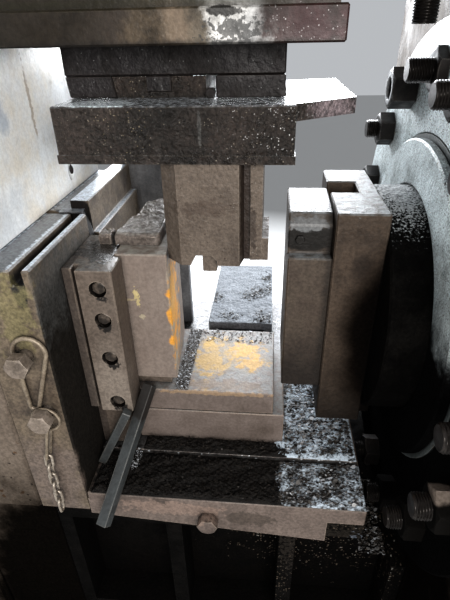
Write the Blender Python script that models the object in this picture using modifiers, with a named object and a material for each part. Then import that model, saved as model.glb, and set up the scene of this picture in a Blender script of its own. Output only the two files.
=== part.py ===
"""Heavy shop press with a vertical main ram and a horizontal side ram.

The press stands on the floor at z = 0 and is looked into from the front, along +Y, with +X to
the right. X = 0 and Y = 0 run through the middle of the tool space. Two side housings carry a
crown with the main cylinder. The slide hangs on the main ram and holds an adapter, a tool
holder and a punch. The side cylinder is studded to the right housing and pushes a ram head
with a side die towards the fixed die, which stands against a bolted rail on the left.
All sizes are in metres.
"""

from math import acos, atan2, cos, pi, radians, sin

import bmesh
import bpy
from mathutils import Matrix, Vector

SEAT = 0.0003                # gap kept between pieces that touch

# Bed, base plates and floor
HOUSING_BOTTOM = 0.0
FOOT_HEIGHT = 0.045
BED_FRONT = -0.26
BED_REAR = 0.56
BED_TOP = 0.58
BED_STEP_X = 0.335           # the bed drops here to clear the side flange and its nuts
BASE_PLATE_TOP = BED_TOP + 0.067
BASE_PLATE_FRONT = -0.30
BASE_PLATE_LEFT = -0.3095
BASE_PLATE_RIGHT = 0.32
BASE_END_THICKNESS = 0.047   # where the plate's right end overhangs
BASE_STEP_X = 0.238
LIP_LEFT_Z = BED_TOP - 0.006
LIP_RIGHT_Z = BED_TOP - 0.048
LIP_THICKNESS = 0.0394
BED_PLATE_THICKNESS = 0.0127
BED_PLATE_FRONT = -0.177
BED_PLATE_RIGHT = 0.314

# Lower die
LOWER_DIE_FRONT = -0.13
LOWER_DIE_REAR = 0.13
LOWER_BASE_RIGHT = 0.138
LOWER_BASE_HEIGHT = 0.0945
LOWER_DIE_RIGHT = 0.111
LOWER_DIE_TOP = BASE_PLATE_TOP + 0.170

# Left rail, fixed die and its holder
RAIL_RIGHT = -0.31
RAIL_BOTTOM = BED_TOP + 0.004
RAIL_HEIGHT = 0.631
RAIL_TOP = RAIL_BOTTOM + RAIL_HEIGHT
RAIL_JOINT_Y = -0.022
RAIL_GAP = 0.022
RAIL_GROOVE_X = -0.335
RAIL_GROOVE_WIDTH = 0.02
RAIL_GROOVE_DEPTH = 0.03
REAR_RAIL_RIGHT = -0.296
REAR_RAIL_TOP = RAIL_TOP + 0.022
REAR_RAIL_LEDGE = RAIL_TOP - 0.052
REAR_RIB_LEFT = -0.352
REAR_RIB_RIGHT = -0.31
GUIDE_PLATE_THICKNESS = 0.03
GUIDE_PLATE_BOTTOM = RAIL_TOP + 0.0005
GUIDE_SLOT = (0.143, GUIDE_PLATE_BOTTOM + 0.0465)
DIE_HOLDER_FRONT = -0.20
DIE_HOLDER_RIGHT = -0.207
DIE_HOLDER_SEAT = -0.2223
DIE_HOLDER_TOP = RAIL_TOP - 0.049
DIE_HOLDER_LEDGE = BASE_PLATE_TOP + 0.163            # underside of the holder's thick plate
HOLDER_BOLTS_X = -0.239
HOLDER_BOLTS_DOWN = (0.040, 0.111, 0.207, 0.329)     # below the die holder's top
COUNTERBORE_R = 0.0175
COUNTERBORE_DEPTH = 0.028
RAIL_BOLTS = ((-0.356, RAIL_TOP - 0.176), (-0.345, RAIL_TOP - 0.315))
RAIL_BOLT_R = 0.0138
RAIL_BOLT_STAND = 0.021      # gap behind the heads that the links hang in
FIXED_DIE_FACE = -0.114
FIXED_DIE_FRONT = -0.13
FIXED_DIE_REAR = 0.061
FIXED_DIE_TAPER = 0.015
FIXED_DIE_BOTTOM = LOWER_DIE_TOP + 0.036
FIXED_DIE_TOP = DIE_HOLDER_TOP + 0.004
DIE_CAP_THICKNESS = 0.026

# Table and guard behind the dies
TABLE_LEFT = -0.092
TABLE_RIGHT = 0.107
TABLE_FRONT = 0.255
TABLE_REAR = 0.66
TABLE_TOP = BASE_PLATE_TOP + 0.113
TABLE_THICKNESS = 0.025
GUARD_LEFT = -0.36
GUARD_RIGHT = -0.172
GUARD_FRONT = 0.40
GUARD_THICKNESS = 0.03
GUARD_TOP = BASE_PLATE_TOP + 0.833

# Adapter, holder and punch
ADAPTER_LEFT = -0.297
ADAPTER_RIGHT = 0.11
ADAPTER_FRONT = -0.04
ADAPTER_REAR = 0.245
DAYLIGHT = 0.158             # from the fixed die's cap up to the tool holder
HOLDER_BOTTOM = FIXED_DIE_TOP + DIE_CAP_THICKNESS + DAYLIGHT
HOLDER_TOP = HOLDER_BOTTOM + 0.095
JAW_TOP = HOLDER_TOP + 0.0367
HOLDER_LEFT = -0.2895
HOLDER_RIGHT = 0.1275
HOLDER_FRONT = -0.145
HOLDER_REAR = 0.26
HOLDER_LIP_HEIGHT = 0.015
HOLDER_LIP_STEP = 0.003
HOLDER_WING_X = 0.236
HOLDER_WING_THICKNESS = 0.0275
TONGUE_LEFT = -0.2
TONGUE_RIGHT = -0.034
KEY_LEFT = -0.145
KEY_RIGHT = -0.097
KEY_BOTTOM = HOLDER_TOP + 0.0095
CLAMP_BOLT_X = -0.0245
PUNCH_BOTTOM = HOLDER_BOTTOM - 0.197
PUNCH_LEFT = -0.081
PUNCH_RIGHT = 0.033
PUNCH_SIDE_LEFT = -0.1135
PUNCH_SIDE_RIGHT = 0.075
PUNCH_CHAMFER = 0.0315
PUNCH_REAR = 0.10

# Main cylinder, main ram and slide
MAIN_X = -0.094
MAIN_Y = 0.03
MAIN_RAM_R = 0.17
MAIN_WALL = 0.09
MAIN_BARREL_R = MAIN_RAM_R + MAIN_WALL
MAIN_GLAND_R = MAIN_BARREL_R + 0.005
MAIN_FLANGE_R = MAIN_BARREL_R + 0.075
MAIN_FLANGE_THICKNESS = 0.06
MAIN_BARREL_ABOVE = 0.30     # how far the barrel stands above the crown
LOCK_RING_WIDTH = 0.06
LOCK_RING_HEIGHT = 0.06
RAM_CLEARANCE = 0.0008
SLIDE_BOTTOM = JAW_TOP + 0.0513
SLIDE_FRONT = -0.16
SLIDE_REAR = 0.24
SLIDE_HALF_WIDTH = 0.288
SLIDE_PLATE_THICKNESS = 0.05
SLIDE_BODY_TOP = SLIDE_BOTTOM + 0.243
MAIN_RAM_TOP = SLIDE_BODY_TOP + 0.77
SLIDE_BODY_INSET = 0.012
GUIDE_ROD_R = 0.032
GUIDE_ROD_OFFSET = MAIN_FLANGE_R - 0.095    # to each side of the ram's axis
GUIDE_ROD_BEHIND = MAIN_FLANGE_R - 0.045    # behind the ram's axis
GUIDE_ROD_TOP = SLIDE_BODY_TOP + 1.08

# Side housings and crown
LEFT_FACE = -0.43            # inner face of the left housing
LEFT_THICKNESS = 0.23
LEFT_FRONT = -0.30
LEFT_REAR = 0.33
RIGHT_FACE = 0.46            # inner face of the right housing
RIGHT_THICKNESS = 0.24
RIGHT_FRONT = -0.56
RIGHT_REAR = 0.67
HOUSING_TOP = SLIDE_BODY_TOP + 0.27
RIB_DEPTH = 0.07
RIB_THICKNESS = 0.04
CROWN_FRONT = -0.34
CROWN_REAR = 0.40
CROWN_HEIGHT = 0.62
CROWN_POCKET_DEPTH = 0.06

# Side cylinder, side ram, ram head and side die
SIDE_Y = 0.058
SIDE_Z = LOWER_DIE_TOP + 0.168
SIDE_RAM_R = 0.265
SIDE_WALL = 0.11
SIDE_BARREL_R = SIDE_RAM_R + SIDE_WALL
SIDE_BARREL_END = 1.18
SIDE_END_CAP = 0.09
GLAND_R = SIDE_BARREL_R - 0.01
GLAND_FACE = 0.398
SIDE_FLANGE_FACE = 0.42
STUD_CIRCLE_R = SIDE_BARREL_R + 0.12
SIDE_FLANGE_R = STUD_CIRCLE_R + 0.095
BED_STEP_Z = SIDE_Z - SIDE_FLANGE_R - 0.01
STUD_COUNT = 16
STUD_PHASE = 18.0            # degrees above +Y for the first stud
STUD_R = 0.024
NUT_FLATS = 0.075
NUT_HEIGHT = 0.040
STUD_PROUD = 0.070
LOCK_NUT_STUD = 3            # index of the stud that keeps only a thin lock nut
LOCK_NUT_HEIGHT = 0.022
DEEP_NUT_STUD = 2            # this one ends inside a deeper nut
DEEP_NUT_FLATS = 0.080
DEEP_NUT_HEIGHT = 0.058
HEAD_LEFT = 0.218
HEAD_RIGHT = 0.32
HEAD_FRONT = -0.10
HEAD_REAR = 0.216
HEAD_BOTTOM = SIDE_Z - 0.265
HEAD_TOP = SIDE_Z + 0.265
HEAD_SLOT_DEPTH = 0.062
HEAD_SLOT = (0.036, 0.115)
SIDE_DIE_FACE = 0.128
SIDE_DIE_FRONT = -0.10
SIDE_DIE_REAR = 0.10
SIDE_DIE_BOTTOM = LOWER_DIE_TOP + 0.007
SIDE_DIE_LEDGE = SIDE_Z + 0.170
SIDE_DIE_TOP = SIDE_DIE_LEDGE + 0.080

# Links, chain and bars
PEAR_WIRE_R = 0.0045
PEAR_Y = -0.3065
PEAR_TOP_R = 0.0315
PEAR_BOTTOM_R = 0.009
RING_WIRE_R = 0.003
RING_R = 0.028
CHAIN_Y = -0.3155
OBLONG_SIZE = (0.10, 0.027, 0.0035)        # length, width and wire radius
CHAIN_LINK_SIZE = (0.043, 0.0215, 0.0032)
CHAIN_LINKS = 6
LINK_PLAY = 0.0006           # clearance between links that hang in each other
CHAIN_LEAN = (13.0, 5.0, 2.0, 1.0, 0.0, 1.0, 0.0)    # degrees to the left, from the oblong link down
LEANING_BAR_SIDE = 0.025
LEANING_BAR_FOOT = (-0.258, -0.354, BASE_PLATE_TOP - 0.035)
LEANING_BAR_TIP = (-0.180, -0.137, BASE_PLATE_TOP + 0.189)
SHORT_BAR_SIDE = 0.020
SHORT_BAR_FOOT = (-0.2985, -0.2104, BASE_PLATE_TOP + 0.0055)
SHORT_BAR_TIP = (-0.2165, -0.2104, BASE_PLATE_TOP + 0.171)
STOP_ROD_X = 0.368
STOP_ROD_Y = 0.10
STOP_ROD_R = 0.0245
STOP_ROD_LOW = SIDE_Z + SIDE_FLANGE_R - 0.018

PRESS = bpy.data.collections.new("hydraulic_press")
CUTTERS = bpy.data.collections.new("press_cutters")


def clear_scene():
    """Start from an empty scene with the two collections linked."""
    for old in list(bpy.data.objects):
        bpy.data.objects.remove(old)
    bpy.context.scene.collection.children.link(PRESS)
    bpy.context.scene.collection.children.link(CUTTERS)
    CUTTERS.hide_render = True


def finish(name, colour, roughness=0.6, metallic=0.7):
    """A named Principled material."""
    material = bpy.data.materials.new(name)
    material.use_nodes = True
    shader = material.node_tree.nodes["Principled BSDF"]
    shader.inputs["Base Color"].default_value = (*colour, 1.0)
    shader.inputs["Roughness"].default_value = roughness
    shader.inputs["Metallic"].default_value = metallic
    return material


def add_object(name, mesh, material):
    """Link a mesh as a piece of the press, or as a cutter where it has no material."""
    piece = bpy.data.objects.new(name, mesh)
    if material is None:
        CUTTERS.objects.link(piece)
        piece.hide_render = True
        piece.display_type = "WIRE"
        return piece
    own = material.copy()
    own.name = name
    mesh.materials.append(own)
    PRESS.objects.link(piece)
    return piece


def soften(piece, width, segments=1):
    """Round the edges of a piece."""
    if width > 0.0:
        bevel = piece.modifiers.new("edges", "BEVEL")
        bevel.width = width
        bevel.segments = segments
        bevel.limit_method = "ANGLE"
        bevel.angle_limit = radians(30)
    return piece


def block(name, x, y, z, material=None, edge=0.0):
    """A rectangular block from its limits along each axis."""
    shape = bmesh.new()
    bmesh.ops.create_cube(shape, size=1.0)
    size = Vector((x[1] - x[0], y[1] - y[0], z[1] - z[0]))
    bmesh.ops.scale(shape, vec=size, verts=shape.verts)
    mesh = bpy.data.meshes.new(name)
    shape.to_mesh(mesh)
    shape.free()
    piece = add_object(name, mesh, material)
    piece.location = ((x[0] + x[1]) / 2, (y[0] + y[1]) / 2, (z[0] + z[1]) / 2)
    return soften(piece, edge)


# How a flat outline is turned so that its thickness runs along each axis
TURN = {
    "X": (pi / 2, 0.0, pi / 2),
    "Y": (pi / 2, 0.0, 0.0),
    "Z": (0.0, 0.0, 0.0),
}


def prism(name, outlines, axis, span, material=None, edge=0.0):
    """A flat outline, with any holes as further outlines, given a thickness along an axis.

    The outline is in (Y, Z) for axis X, (X, Z) for axis Y and (X, Y) for axis Z.
    """
    curve = bpy.data.curves.new(name, "CURVE")
    curve.dimensions = "2D"
    curve.fill_mode = "BOTH"
    curve.extrude = (span[1] - span[0]) / 2
    for outline in outlines:
        spline = curve.splines.new("POLY")
        spline.points.add(len(outline) - 1)
        for point, (u, v) in zip(spline.points, outline):
            point.co = (u, v, 0.0, 1.0)
        spline.use_cyclic_u = True
    drawn = bpy.data.objects.new(name + "_outline", curve)
    CUTTERS.objects.link(drawn)
    graph = bpy.context.evaluated_depsgraph_get()
    mesh = bpy.data.meshes.new_from_object(drawn.evaluated_get(graph))
    bpy.data.objects.remove(drawn)
    shape = bmesh.new()
    shape.from_mesh(mesh)
    bmesh.ops.remove_doubles(shape, verts=shape.verts, dist=0.00001)
    bmesh.ops.recalc_face_normals(shape, faces=shape.faces)
    shape.to_mesh(mesh)
    shape.free()
    mesh.name = name
    mesh.materials.clear()
    piece = add_object(name, mesh, material)
    piece.rotation_euler = TURN[axis]
    middle = (span[0] + span[1]) / 2
    piece.location = [middle if letter == axis else 0.0 for letter in "XYZ"]
    return soften(piece, edge)


def turned(name, profile, centre, axis="Z", material=None, steps=48):
    """A turned piece: a closed profile of (radius, height) points, swept round an axis.

    The outer side runs from the high end to the low end.
    """
    mesh = bpy.data.meshes.new(name)
    ends = [(i, (i + 1) % len(profile)) for i in range(len(profile))]
    on_axis = [radius == 0.0 for radius, _ in profile]
    edges = [pair for pair in ends if not (on_axis[pair[0]] and on_axis[pair[1]])]
    mesh.from_pydata([(radius, 0.0, height) for radius, height in profile], edges, [])
    piece = add_object(name, mesh, material)
    screw = piece.modifiers.new("turn", "SCREW")
    screw.steps = steps
    screw.render_steps = steps
    screw.use_merge_vertices = True
    screw.merge_threshold = 0.00001
    screw.use_smooth_shade = False
    piece.location = centre
    if axis == "X":
        piece.rotation_euler = (0.0, pi / 2, 0.0)
    return piece


def rod(name, radius, start, end, material=None, sides=24, edge=0.0, turn=0.0):
    """A round or polygonal bar between two points, turned by an angle about its own axis."""
    start = Vector(start)
    end = Vector(end)
    shape = bmesh.new()
    bmesh.ops.create_cone(
        shape,
        cap_ends=True,
        segments=sides,
        radius1=radius,
        radius2=radius,
        depth=(end - start).length,
        matrix=Matrix.Rotation(turn, 4, "Z"),
    )
    mesh = bpy.data.meshes.new(name)
    shape.to_mesh(mesh)
    shape.free()
    piece = add_object(name, mesh, material)
    piece.rotation_euler = (end - start).to_track_quat("Z", "Y").to_euler()
    piece.location = (start + end) / 2
    return soften(piece, edge)


def combine(piece, other, operation="DIFFERENCE"):
    """Cut another shape from a piece, or join it to it."""
    change = piece.modifiers.new(other.name, "BOOLEAN")
    change.operation = operation
    change.object = other
    change.solver = "EXACT"
    return piece


def hex_radius(flats):
    """Corner radius of a hexagon from its width across flats."""
    return flats / 2 / cos(pi / 6)


def hex_bolt(name, flats, height, shank_r, shank_length, seat, axis, material, stand=SEAT):
    """A hexagon head standing out of a face along axis, with its shank behind the face."""
    seat = Vector(seat)
    axis = Vector(axis)
    low = seat + axis * stand
    high = low + axis * height
    head = rod(name, hex_radius(flats), low, high, material, 6, 0.0015, pi / 6)
    shank = rod(
        name + "_shank",
        shank_r,
        seat - axis * shank_length,
        low + axis * height / 2,
        None,
        16,
    )
    return combine(head, shank, "UNION")


def drill(target, radius, seat, axis, depth):
    """A round hole into a face, against the direction of axis."""
    seat = Vector(seat)
    axis = Vector(axis)
    label = f"{target.name}_hole_{len(target.modifiers)}"
    hole = rod(label, radius, seat - axis * depth, seat + axis * 0.02, None, 20)
    return combine(target, hole)


def bar(name, side, foot, tip, material, edge=0.0):
    """A square bar between two points, with one pair of its sides level."""
    foot = Vector(foot)
    tip = Vector(tip)
    shape = bmesh.new()
    bmesh.ops.create_cube(shape, size=1.0)
    bmesh.ops.scale(shape, vec=Vector((side, side, (tip - foot).length)), verts=shape.verts)
    mesh = bpy.data.meshes.new(name)
    shape.to_mesh(mesh)
    shape.free()
    piece = add_object(name, mesh, material)
    piece.rotation_euler = (tip - foot).to_track_quat("Z", "Y").to_euler()
    piece.location = (foot + tip) / 2
    return soften(piece, edge)


def loop_outline(top, top_r, low, low_r, steps):
    """Points of a closed loop that runs round two circles, in a flat (u, v) plane."""
    run = Vector(low) - Vector(top)
    lean = acos((top_r - low_r) / run.length) if run.length > 1e-6 else pi / 2
    heading = atan2(run.y, run.x)
    points = []
    for step in range(steps + 1):
        angle = heading + lean + (2 * pi - 2 * lean) * step / steps
        points.append((top[0] + top_r * cos(angle), top[1] + top_r * sin(angle)))
    for step in range(steps + 1):
        angle = heading - lean + 2 * lean * step / steps
        points.append((low[0] + low_r * cos(angle), low[1] + low_r * sin(angle)))
    return points


def wire_loop(name, outline, origin, across, wire_r, material, up=(0.0, 0.0, 1.0), sides=8):
    """A closed loop of round wire. The outline's u runs along across and its v runs along up."""
    origin = Vector(origin)
    across = Vector(across).normalized()
    up = Vector(up)
    flat = across.cross(up)
    points = [origin + across * u + up * v for u, v in outline]
    count = len(points)
    mesh = bpy.data.meshes.new(name)
    verts = []
    for index, point in enumerate(points):
        along = (points[(index + 1) % count] - points[index - 1]).normalized()
        outwards = along.cross(flat)
        for side in range(sides):
            angle = 2 * pi * (side + 0.5) / sides
            verts.append(point + (outwards * cos(angle) + flat * sin(angle)) * wire_r)
    faces = []
    for index in range(count):
        this = index * sides
        after = (index + 1) % count * sides
        for side in range(sides):
            beside = (side + 1) % sides
            faces.append((this + side, after + side, after + beside, this + beside))
    mesh.from_pydata([tuple(vert) for vert in verts], [], faces)
    shape = bmesh.new()
    shape.from_mesh(mesh)
    bmesh.ops.recalc_face_normals(shape, faces=shape.faces)
    shape.to_mesh(mesh)
    shape.free()
    return add_object(name, mesh, material)


def ring_points(radius, count, phase, centre):
    """Points at equal angles on a circle."""
    angles = [radians(phase) + 2 * pi * step / count for step in range(count)]
    return [(centre[0] + radius * cos(a), centre[1] + radius * sin(a)) for a in angles]


def build_bed():
    """Lower beam with open pockets in its front and rear, and the plates on top of it."""
    cast = finish("bed_black_oily", (0.022, 0.019, 0.017), 0.5, 0.5)
    plate = finish("base_plate_steel", (0.16, 0.13, 0.11), 0.6, 0.6)
    left = LEFT_FACE + SEAT
    right = RIGHT_FACE - SEAT
    bed = block("bed_beam", (left, right), (BED_FRONT, BED_REAR), (HOUSING_BOTTOM, BED_TOP), cast, 0.006)
    pocket_width = (right - left - 4 * RIB_THICKNESS) / 3
    for index in range(3):
        start = left + RIB_THICKNESS + index * (pocket_width + RIB_THICKNESS)
        for face, inwards in ((BED_FRONT, 1), (BED_REAR, -1)):
            depth = sorted((face - inwards * 0.02, face + inwards * 0.09))
            pocket = block(
                f"bed_pocket_{index}_{inwards}",
                (start, start + pocket_width),
                depth,
                (0.10, BED_TOP - 0.09),
            )
            combine(bed, pocket)
    step = block(
        "bed_step",
        (BED_STEP_X, right + 0.05),
        (BED_FRONT - 0.05, BED_REAR + 0.05),
        (BED_STEP_Z, BED_TOP + 0.05),
    )
    combine(bed, step)

    base = block(
        "base_plate",
        (BASE_PLATE_LEFT, BASE_PLATE_RIGHT),
        (BASE_PLATE_FRONT, BED_REAR),
        (BED_TOP + SEAT, BASE_PLATE_TOP),
        plate,
        0.003,
    )
    lip_outline = [
        (BASE_PLATE_LEFT, BASE_PLATE_TOP - 0.02),
        (BASE_PLATE_LEFT, LIP_LEFT_Z),
        (BASE_STEP_X, LIP_RIGHT_Z),
        (BASE_STEP_X, BASE_PLATE_TOP - 0.02),
    ]
    lip = prism("base_lip", [lip_outline], "Y", (BASE_PLATE_FRONT + 0.0002, BED_FRONT - SEAT))
    combine(base, lip, "UNION")
    underside = BASE_PLATE_TOP - BASE_END_THICKNESS
    overhang = block(
        "base_overhang",
        (BASE_STEP_X + 0.0005, BASE_PLATE_RIGHT + 0.02),
        (BASE_PLATE_FRONT - 0.02, BED_FRONT + 0.03),
        (BED_TOP - 0.05, underside),
    )
    combine(base, overhang)
    bolt_seat = (-0.031, BASE_PLATE_FRONT, BED_TOP + 0.003)
    drill(base, 0.014, bolt_seat, (0, -1, 0), 0.036)
    hex_bolt("base_bolt", 0.041, 0.024, 0.0135, 0.035, bolt_seat, (0, -1, 0), plate)

    block(
        "bed_plate",
        (BASE_PLATE_LEFT, BED_PLATE_RIGHT),
        (BED_PLATE_FRONT, BED_REAR - 0.01),
        (BASE_PLATE_TOP + SEAT, BASE_PLATE_TOP + SEAT + BED_PLATE_THICKNESS),
        finish("bed_plate_scale", (0.2, 0.19, 0.19), 0.55, 0.6),
        0.0015,
    )


def housing(name, face, outwards, thickness, front, rear, material):
    """A side housing: a thick upright with outer ribs and a foot flange."""
    outer = face + outwards * thickness
    upright = block(name, sorted((face, outer)), (front, rear), (HOUSING_BOTTOM, HOUSING_TOP), material, 0.008)
    rib_out = outer + outwards * RIB_DEPTH
    rib_places = (front + 0.05, (front + rear) / 2, rear - 0.05)
    for index, middle in enumerate(rib_places):
        rib = block(
            f"{name}_rib_{index}",
            sorted((outer - outwards * 0.02, rib_out)),
            (middle - RIB_THICKNESS / 2, middle + RIB_THICKNESS / 2),
            (FOOT_HEIGHT / 2, HOUSING_TOP - 0.08),
        )
        combine(upright, rib, "UNION")
    foot = block(
        f"{name}_foot",
        sorted((outer - outwards * 0.02, rib_out + outwards * 0.05)),
        (front, rear),
        (HOUSING_BOTTOM, FOOT_HEIGHT),
    )
    combine(upright, foot, "UNION")
    bolt_x = rib_out + outwards * 0.022
    for middle in (front + 0.13, rear - 0.13):
        drill(upright, 0.018, (bolt_x, middle, FOOT_HEIGHT), (0, 0, 1), FOOT_HEIGHT + 0.02)
    return upright


def build_frame():
    """Side housings, crown, and the guide plate on the left housing."""
    paint = finish("housing_old_paint", (0.19, 0.17, 0.11), 0.6, 0.3)
    left = housing("left_housing", LEFT_FACE, -1, LEFT_THICKNESS, LEFT_FRONT, LEFT_REAR, paint)
    recess = block(
        "left_recess",
        (LEFT_FACE - LEFT_THICKNESS - 0.02, LEFT_FACE + 0.02),
        (LEFT_FRONT - 0.02, BED_FRONT),
        (FOOT_HEIGHT, RAIL_BOTTOM),
    )
    combine(left, recess)
    right = housing("right_housing", RIGHT_FACE, 1, RIGHT_THICKNESS, RIGHT_FRONT, RIGHT_REAR, paint)
    bore = rod(
        "side_barrel_bore",
        SIDE_BARREL_R + 0.0008,
        (RIGHT_FACE - 0.05, SIDE_Y, SIDE_Z),
        (RIGHT_FACE + RIGHT_THICKNESS + RIB_DEPTH + 0.05, SIDE_Y, SIDE_Z),
        None,
        64,
    )
    combine(right, bore)

    crown = block(
        "crown",
        (LEFT_FACE - LEFT_THICKNESS, RIGHT_FACE + RIGHT_THICKNESS),
        (CROWN_FRONT, CROWN_REAR),
        (HOUSING_TOP + SEAT, HOUSING_TOP + CROWN_HEIGHT),
        paint,
        0.008,
    )
    for side, face, inwards in (("front", CROWN_FRONT, 1), ("rear", CROWN_REAR, -1)):
        for index, span in enumerate(((-0.60, -0.40), (0.23, 0.64))):
            pocket = block(
                f"crown_pocket_{side}_{index}",
                span,
                sorted((face - inwards * 0.02, face + inwards * CROWN_POCKET_DEPTH)),
                (HOUSING_TOP + 0.08, HOUSING_TOP + CROWN_HEIGHT - 0.08),
            )
            combine(crown, pocket)
    low = HOUSING_TOP - 0.05
    high = HOUSING_TOP + CROWN_HEIGHT + 0.05
    guide_y = MAIN_Y + GUIDE_ROD_BEHIND
    openings = [(MAIN_X, MAIN_Y, MAIN_BARREL_R + 0.0008, 48)]
    for side in (-1, 1):
        openings.append((MAIN_X + side * GUIDE_ROD_OFFSET, guide_y, GUIDE_ROD_R + RAM_CLEARANCE, 24))
    for index, (x, y, radius, sides) in enumerate(openings):
        combine(crown, rod(f"crown_bore_{index}", radius, (x, y, low), (x, y, high), None, sides))

    guide = block(
        "left_guide_plate",
        (LEFT_FACE + SEAT, LEFT_FACE + GUIDE_PLATE_THICKNESS),
        (LEFT_FRONT, LEFT_REAR),
        (GUIDE_PLATE_BOTTOM, HOUSING_TOP - 0.1),
        finish("guide_plate_bright", (0.55, 0.55, 0.52), 0.35, 0.8),
        0.002,
    )
    oval = [
        (GUIDE_SLOT[0] + 0.0155 * cos(2 * pi * step / 16), GUIDE_SLOT[1] + 0.021 * sin(2 * pi * step / 16))
        for step in range(16)
    ]
    slot = prism("guide_slot", [oval], "X", (LEFT_FACE + 0.012, LEFT_FACE + 0.05))
    combine(guide, slot)
    return left


def build_main_cylinder():
    """Vertical cylinder through the crown, its gland ring and flange screws."""
    steel = finish("main_cylinder_paint", (0.12, 0.13, 0.12), 0.5, 0.4)
    low = HOUSING_TOP - MAIN_FLANGE_THICKNESS
    high = HOUSING_TOP + CROWN_HEIGHT + MAIN_BARREL_ABOVE
    bore = MAIN_RAM_R + RAM_CLEARANCE
    profile = [
        (0.0, high),
        (MAIN_BARREL_R, high),
        (MAIN_BARREL_R, HOUSING_TOP - SEAT),
        (MAIN_FLANGE_R, HOUSING_TOP - SEAT),
        (MAIN_FLANGE_R, low),
        (bore, low),
        (bore, high - 0.10),
        (0.0, high - 0.10),
    ]
    barrel = turned("main_cylinder", profile, (MAIN_X, MAIN_Y, 0.0), "Z", steel)
    gland = [
        (MAIN_GLAND_R, low - SEAT),
        (MAIN_GLAND_R, low - 0.03),
        (bore, low - 0.03),
        (bore, low - SEAT),
    ]
    turned("main_gland", gland, (MAIN_X, MAIN_Y, 0.0), "Z", steel)
    nut_seat = HOUSING_TOP + CROWN_HEIGHT
    ring = [
        (MAIN_BARREL_R + LOCK_RING_WIDTH, nut_seat + LOCK_RING_HEIGHT),
        (MAIN_BARREL_R + LOCK_RING_WIDTH, nut_seat + SEAT),
        (MAIN_BARREL_R + SEAT, nut_seat + SEAT),
        (MAIN_BARREL_R + SEAT, nut_seat + LOCK_RING_HEIGHT),
    ]
    turned("main_lock_ring", ring, (MAIN_X, MAIN_Y, 0.0), "Z", steel)
    port_top = (MAIN_X, MAIN_Y, high + 0.07)
    port = rod("main_port", 0.045, (MAIN_X, MAIN_Y, high - 0.02), port_top, None, 24)
    combine(barrel, port, "UNION")
    drill(barrel, 0.02, port_top, (0, 0, 1), 0.05)
    rod_nut_low = HOUSING_TOP - SEAT
    stop = rod(
        "stop_rod",
        STOP_ROD_R,
        (STOP_ROD_X, STOP_ROD_Y, STOP_ROD_LOW),
        (STOP_ROD_X, STOP_ROD_Y, rod_nut_low),
        steel,
        24,
        0.002,
    )
    nut = rod(
        "stop_rod_nut",
        hex_radius(NUT_FLATS),
        (STOP_ROD_X, STOP_ROD_Y, rod_nut_low - NUT_HEIGHT),
        (STOP_ROD_X, STOP_ROD_Y, rod_nut_low - 0.0005),
        None,
        6,
    )
    combine(stop, nut, "UNION")


def build_slide():
    """Slide, main ram and the two guide rods that keep it square."""
    dark = finish("slide_brown_steel", (0.11, 0.075, 0.055), 0.55, 0.6)
    left = MAIN_X - SLIDE_HALF_WIDTH
    right = MAIN_X + SLIDE_HALF_WIDTH
    plate_top = SLIDE_BOTTOM + SLIDE_PLATE_THICKNESS
    slide = block("slide", (left, right), (SLIDE_FRONT, SLIDE_REAR), (SLIDE_BOTTOM, plate_top), dark, 0.003)
    body = block(
        "slide_box",
        (left + SLIDE_BODY_INSET, right - SLIDE_BODY_INSET),
        (SLIDE_FRONT + SLIDE_BODY_INSET, SLIDE_REAR - SLIDE_BODY_INSET),
        (plate_top - 0.01, SLIDE_BODY_TOP),
    )
    combine(slide, body, "UNION")
    guide_y = MAIN_Y + GUIDE_ROD_BEHIND
    for index, side in enumerate((-1, 1)):
        x = MAIN_X + side * GUIDE_ROD_OFFSET
        arm = block(
            f"slide_arm_{index}",
            (x - 0.047, x + 0.047),
            (SLIDE_REAR - 0.05, guide_y + 0.05),
            (SLIDE_BODY_TOP - 0.09, SLIDE_BODY_TOP - 0.0002),
        )
        combine(slide, arm, "UNION")

    chrome = finish("ram_chrome", (0.55, 0.55, 0.55), 0.2, 1.0)
    ram = [
        (0.0, MAIN_RAM_TOP),
        (MAIN_RAM_R, MAIN_RAM_TOP),
        (MAIN_RAM_R, SLIDE_BODY_TOP + SEAT),
        (0.0, SLIDE_BODY_TOP + SEAT),
    ]
    turned("main_ram", ram, (MAIN_X, MAIN_Y, 0.0), "Z", chrome)
    for label, side in (("left", -1), ("right", 1)):
        x = MAIN_X + side * GUIDE_ROD_OFFSET
        rod(
            f"guide_rod_{label}",
            GUIDE_ROD_R,
            (x, guide_y, SLIDE_BODY_TOP + SEAT),
            (x, guide_y, GUIDE_ROD_TOP),
            chrome,
            24,
            0.003,
        )


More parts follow.
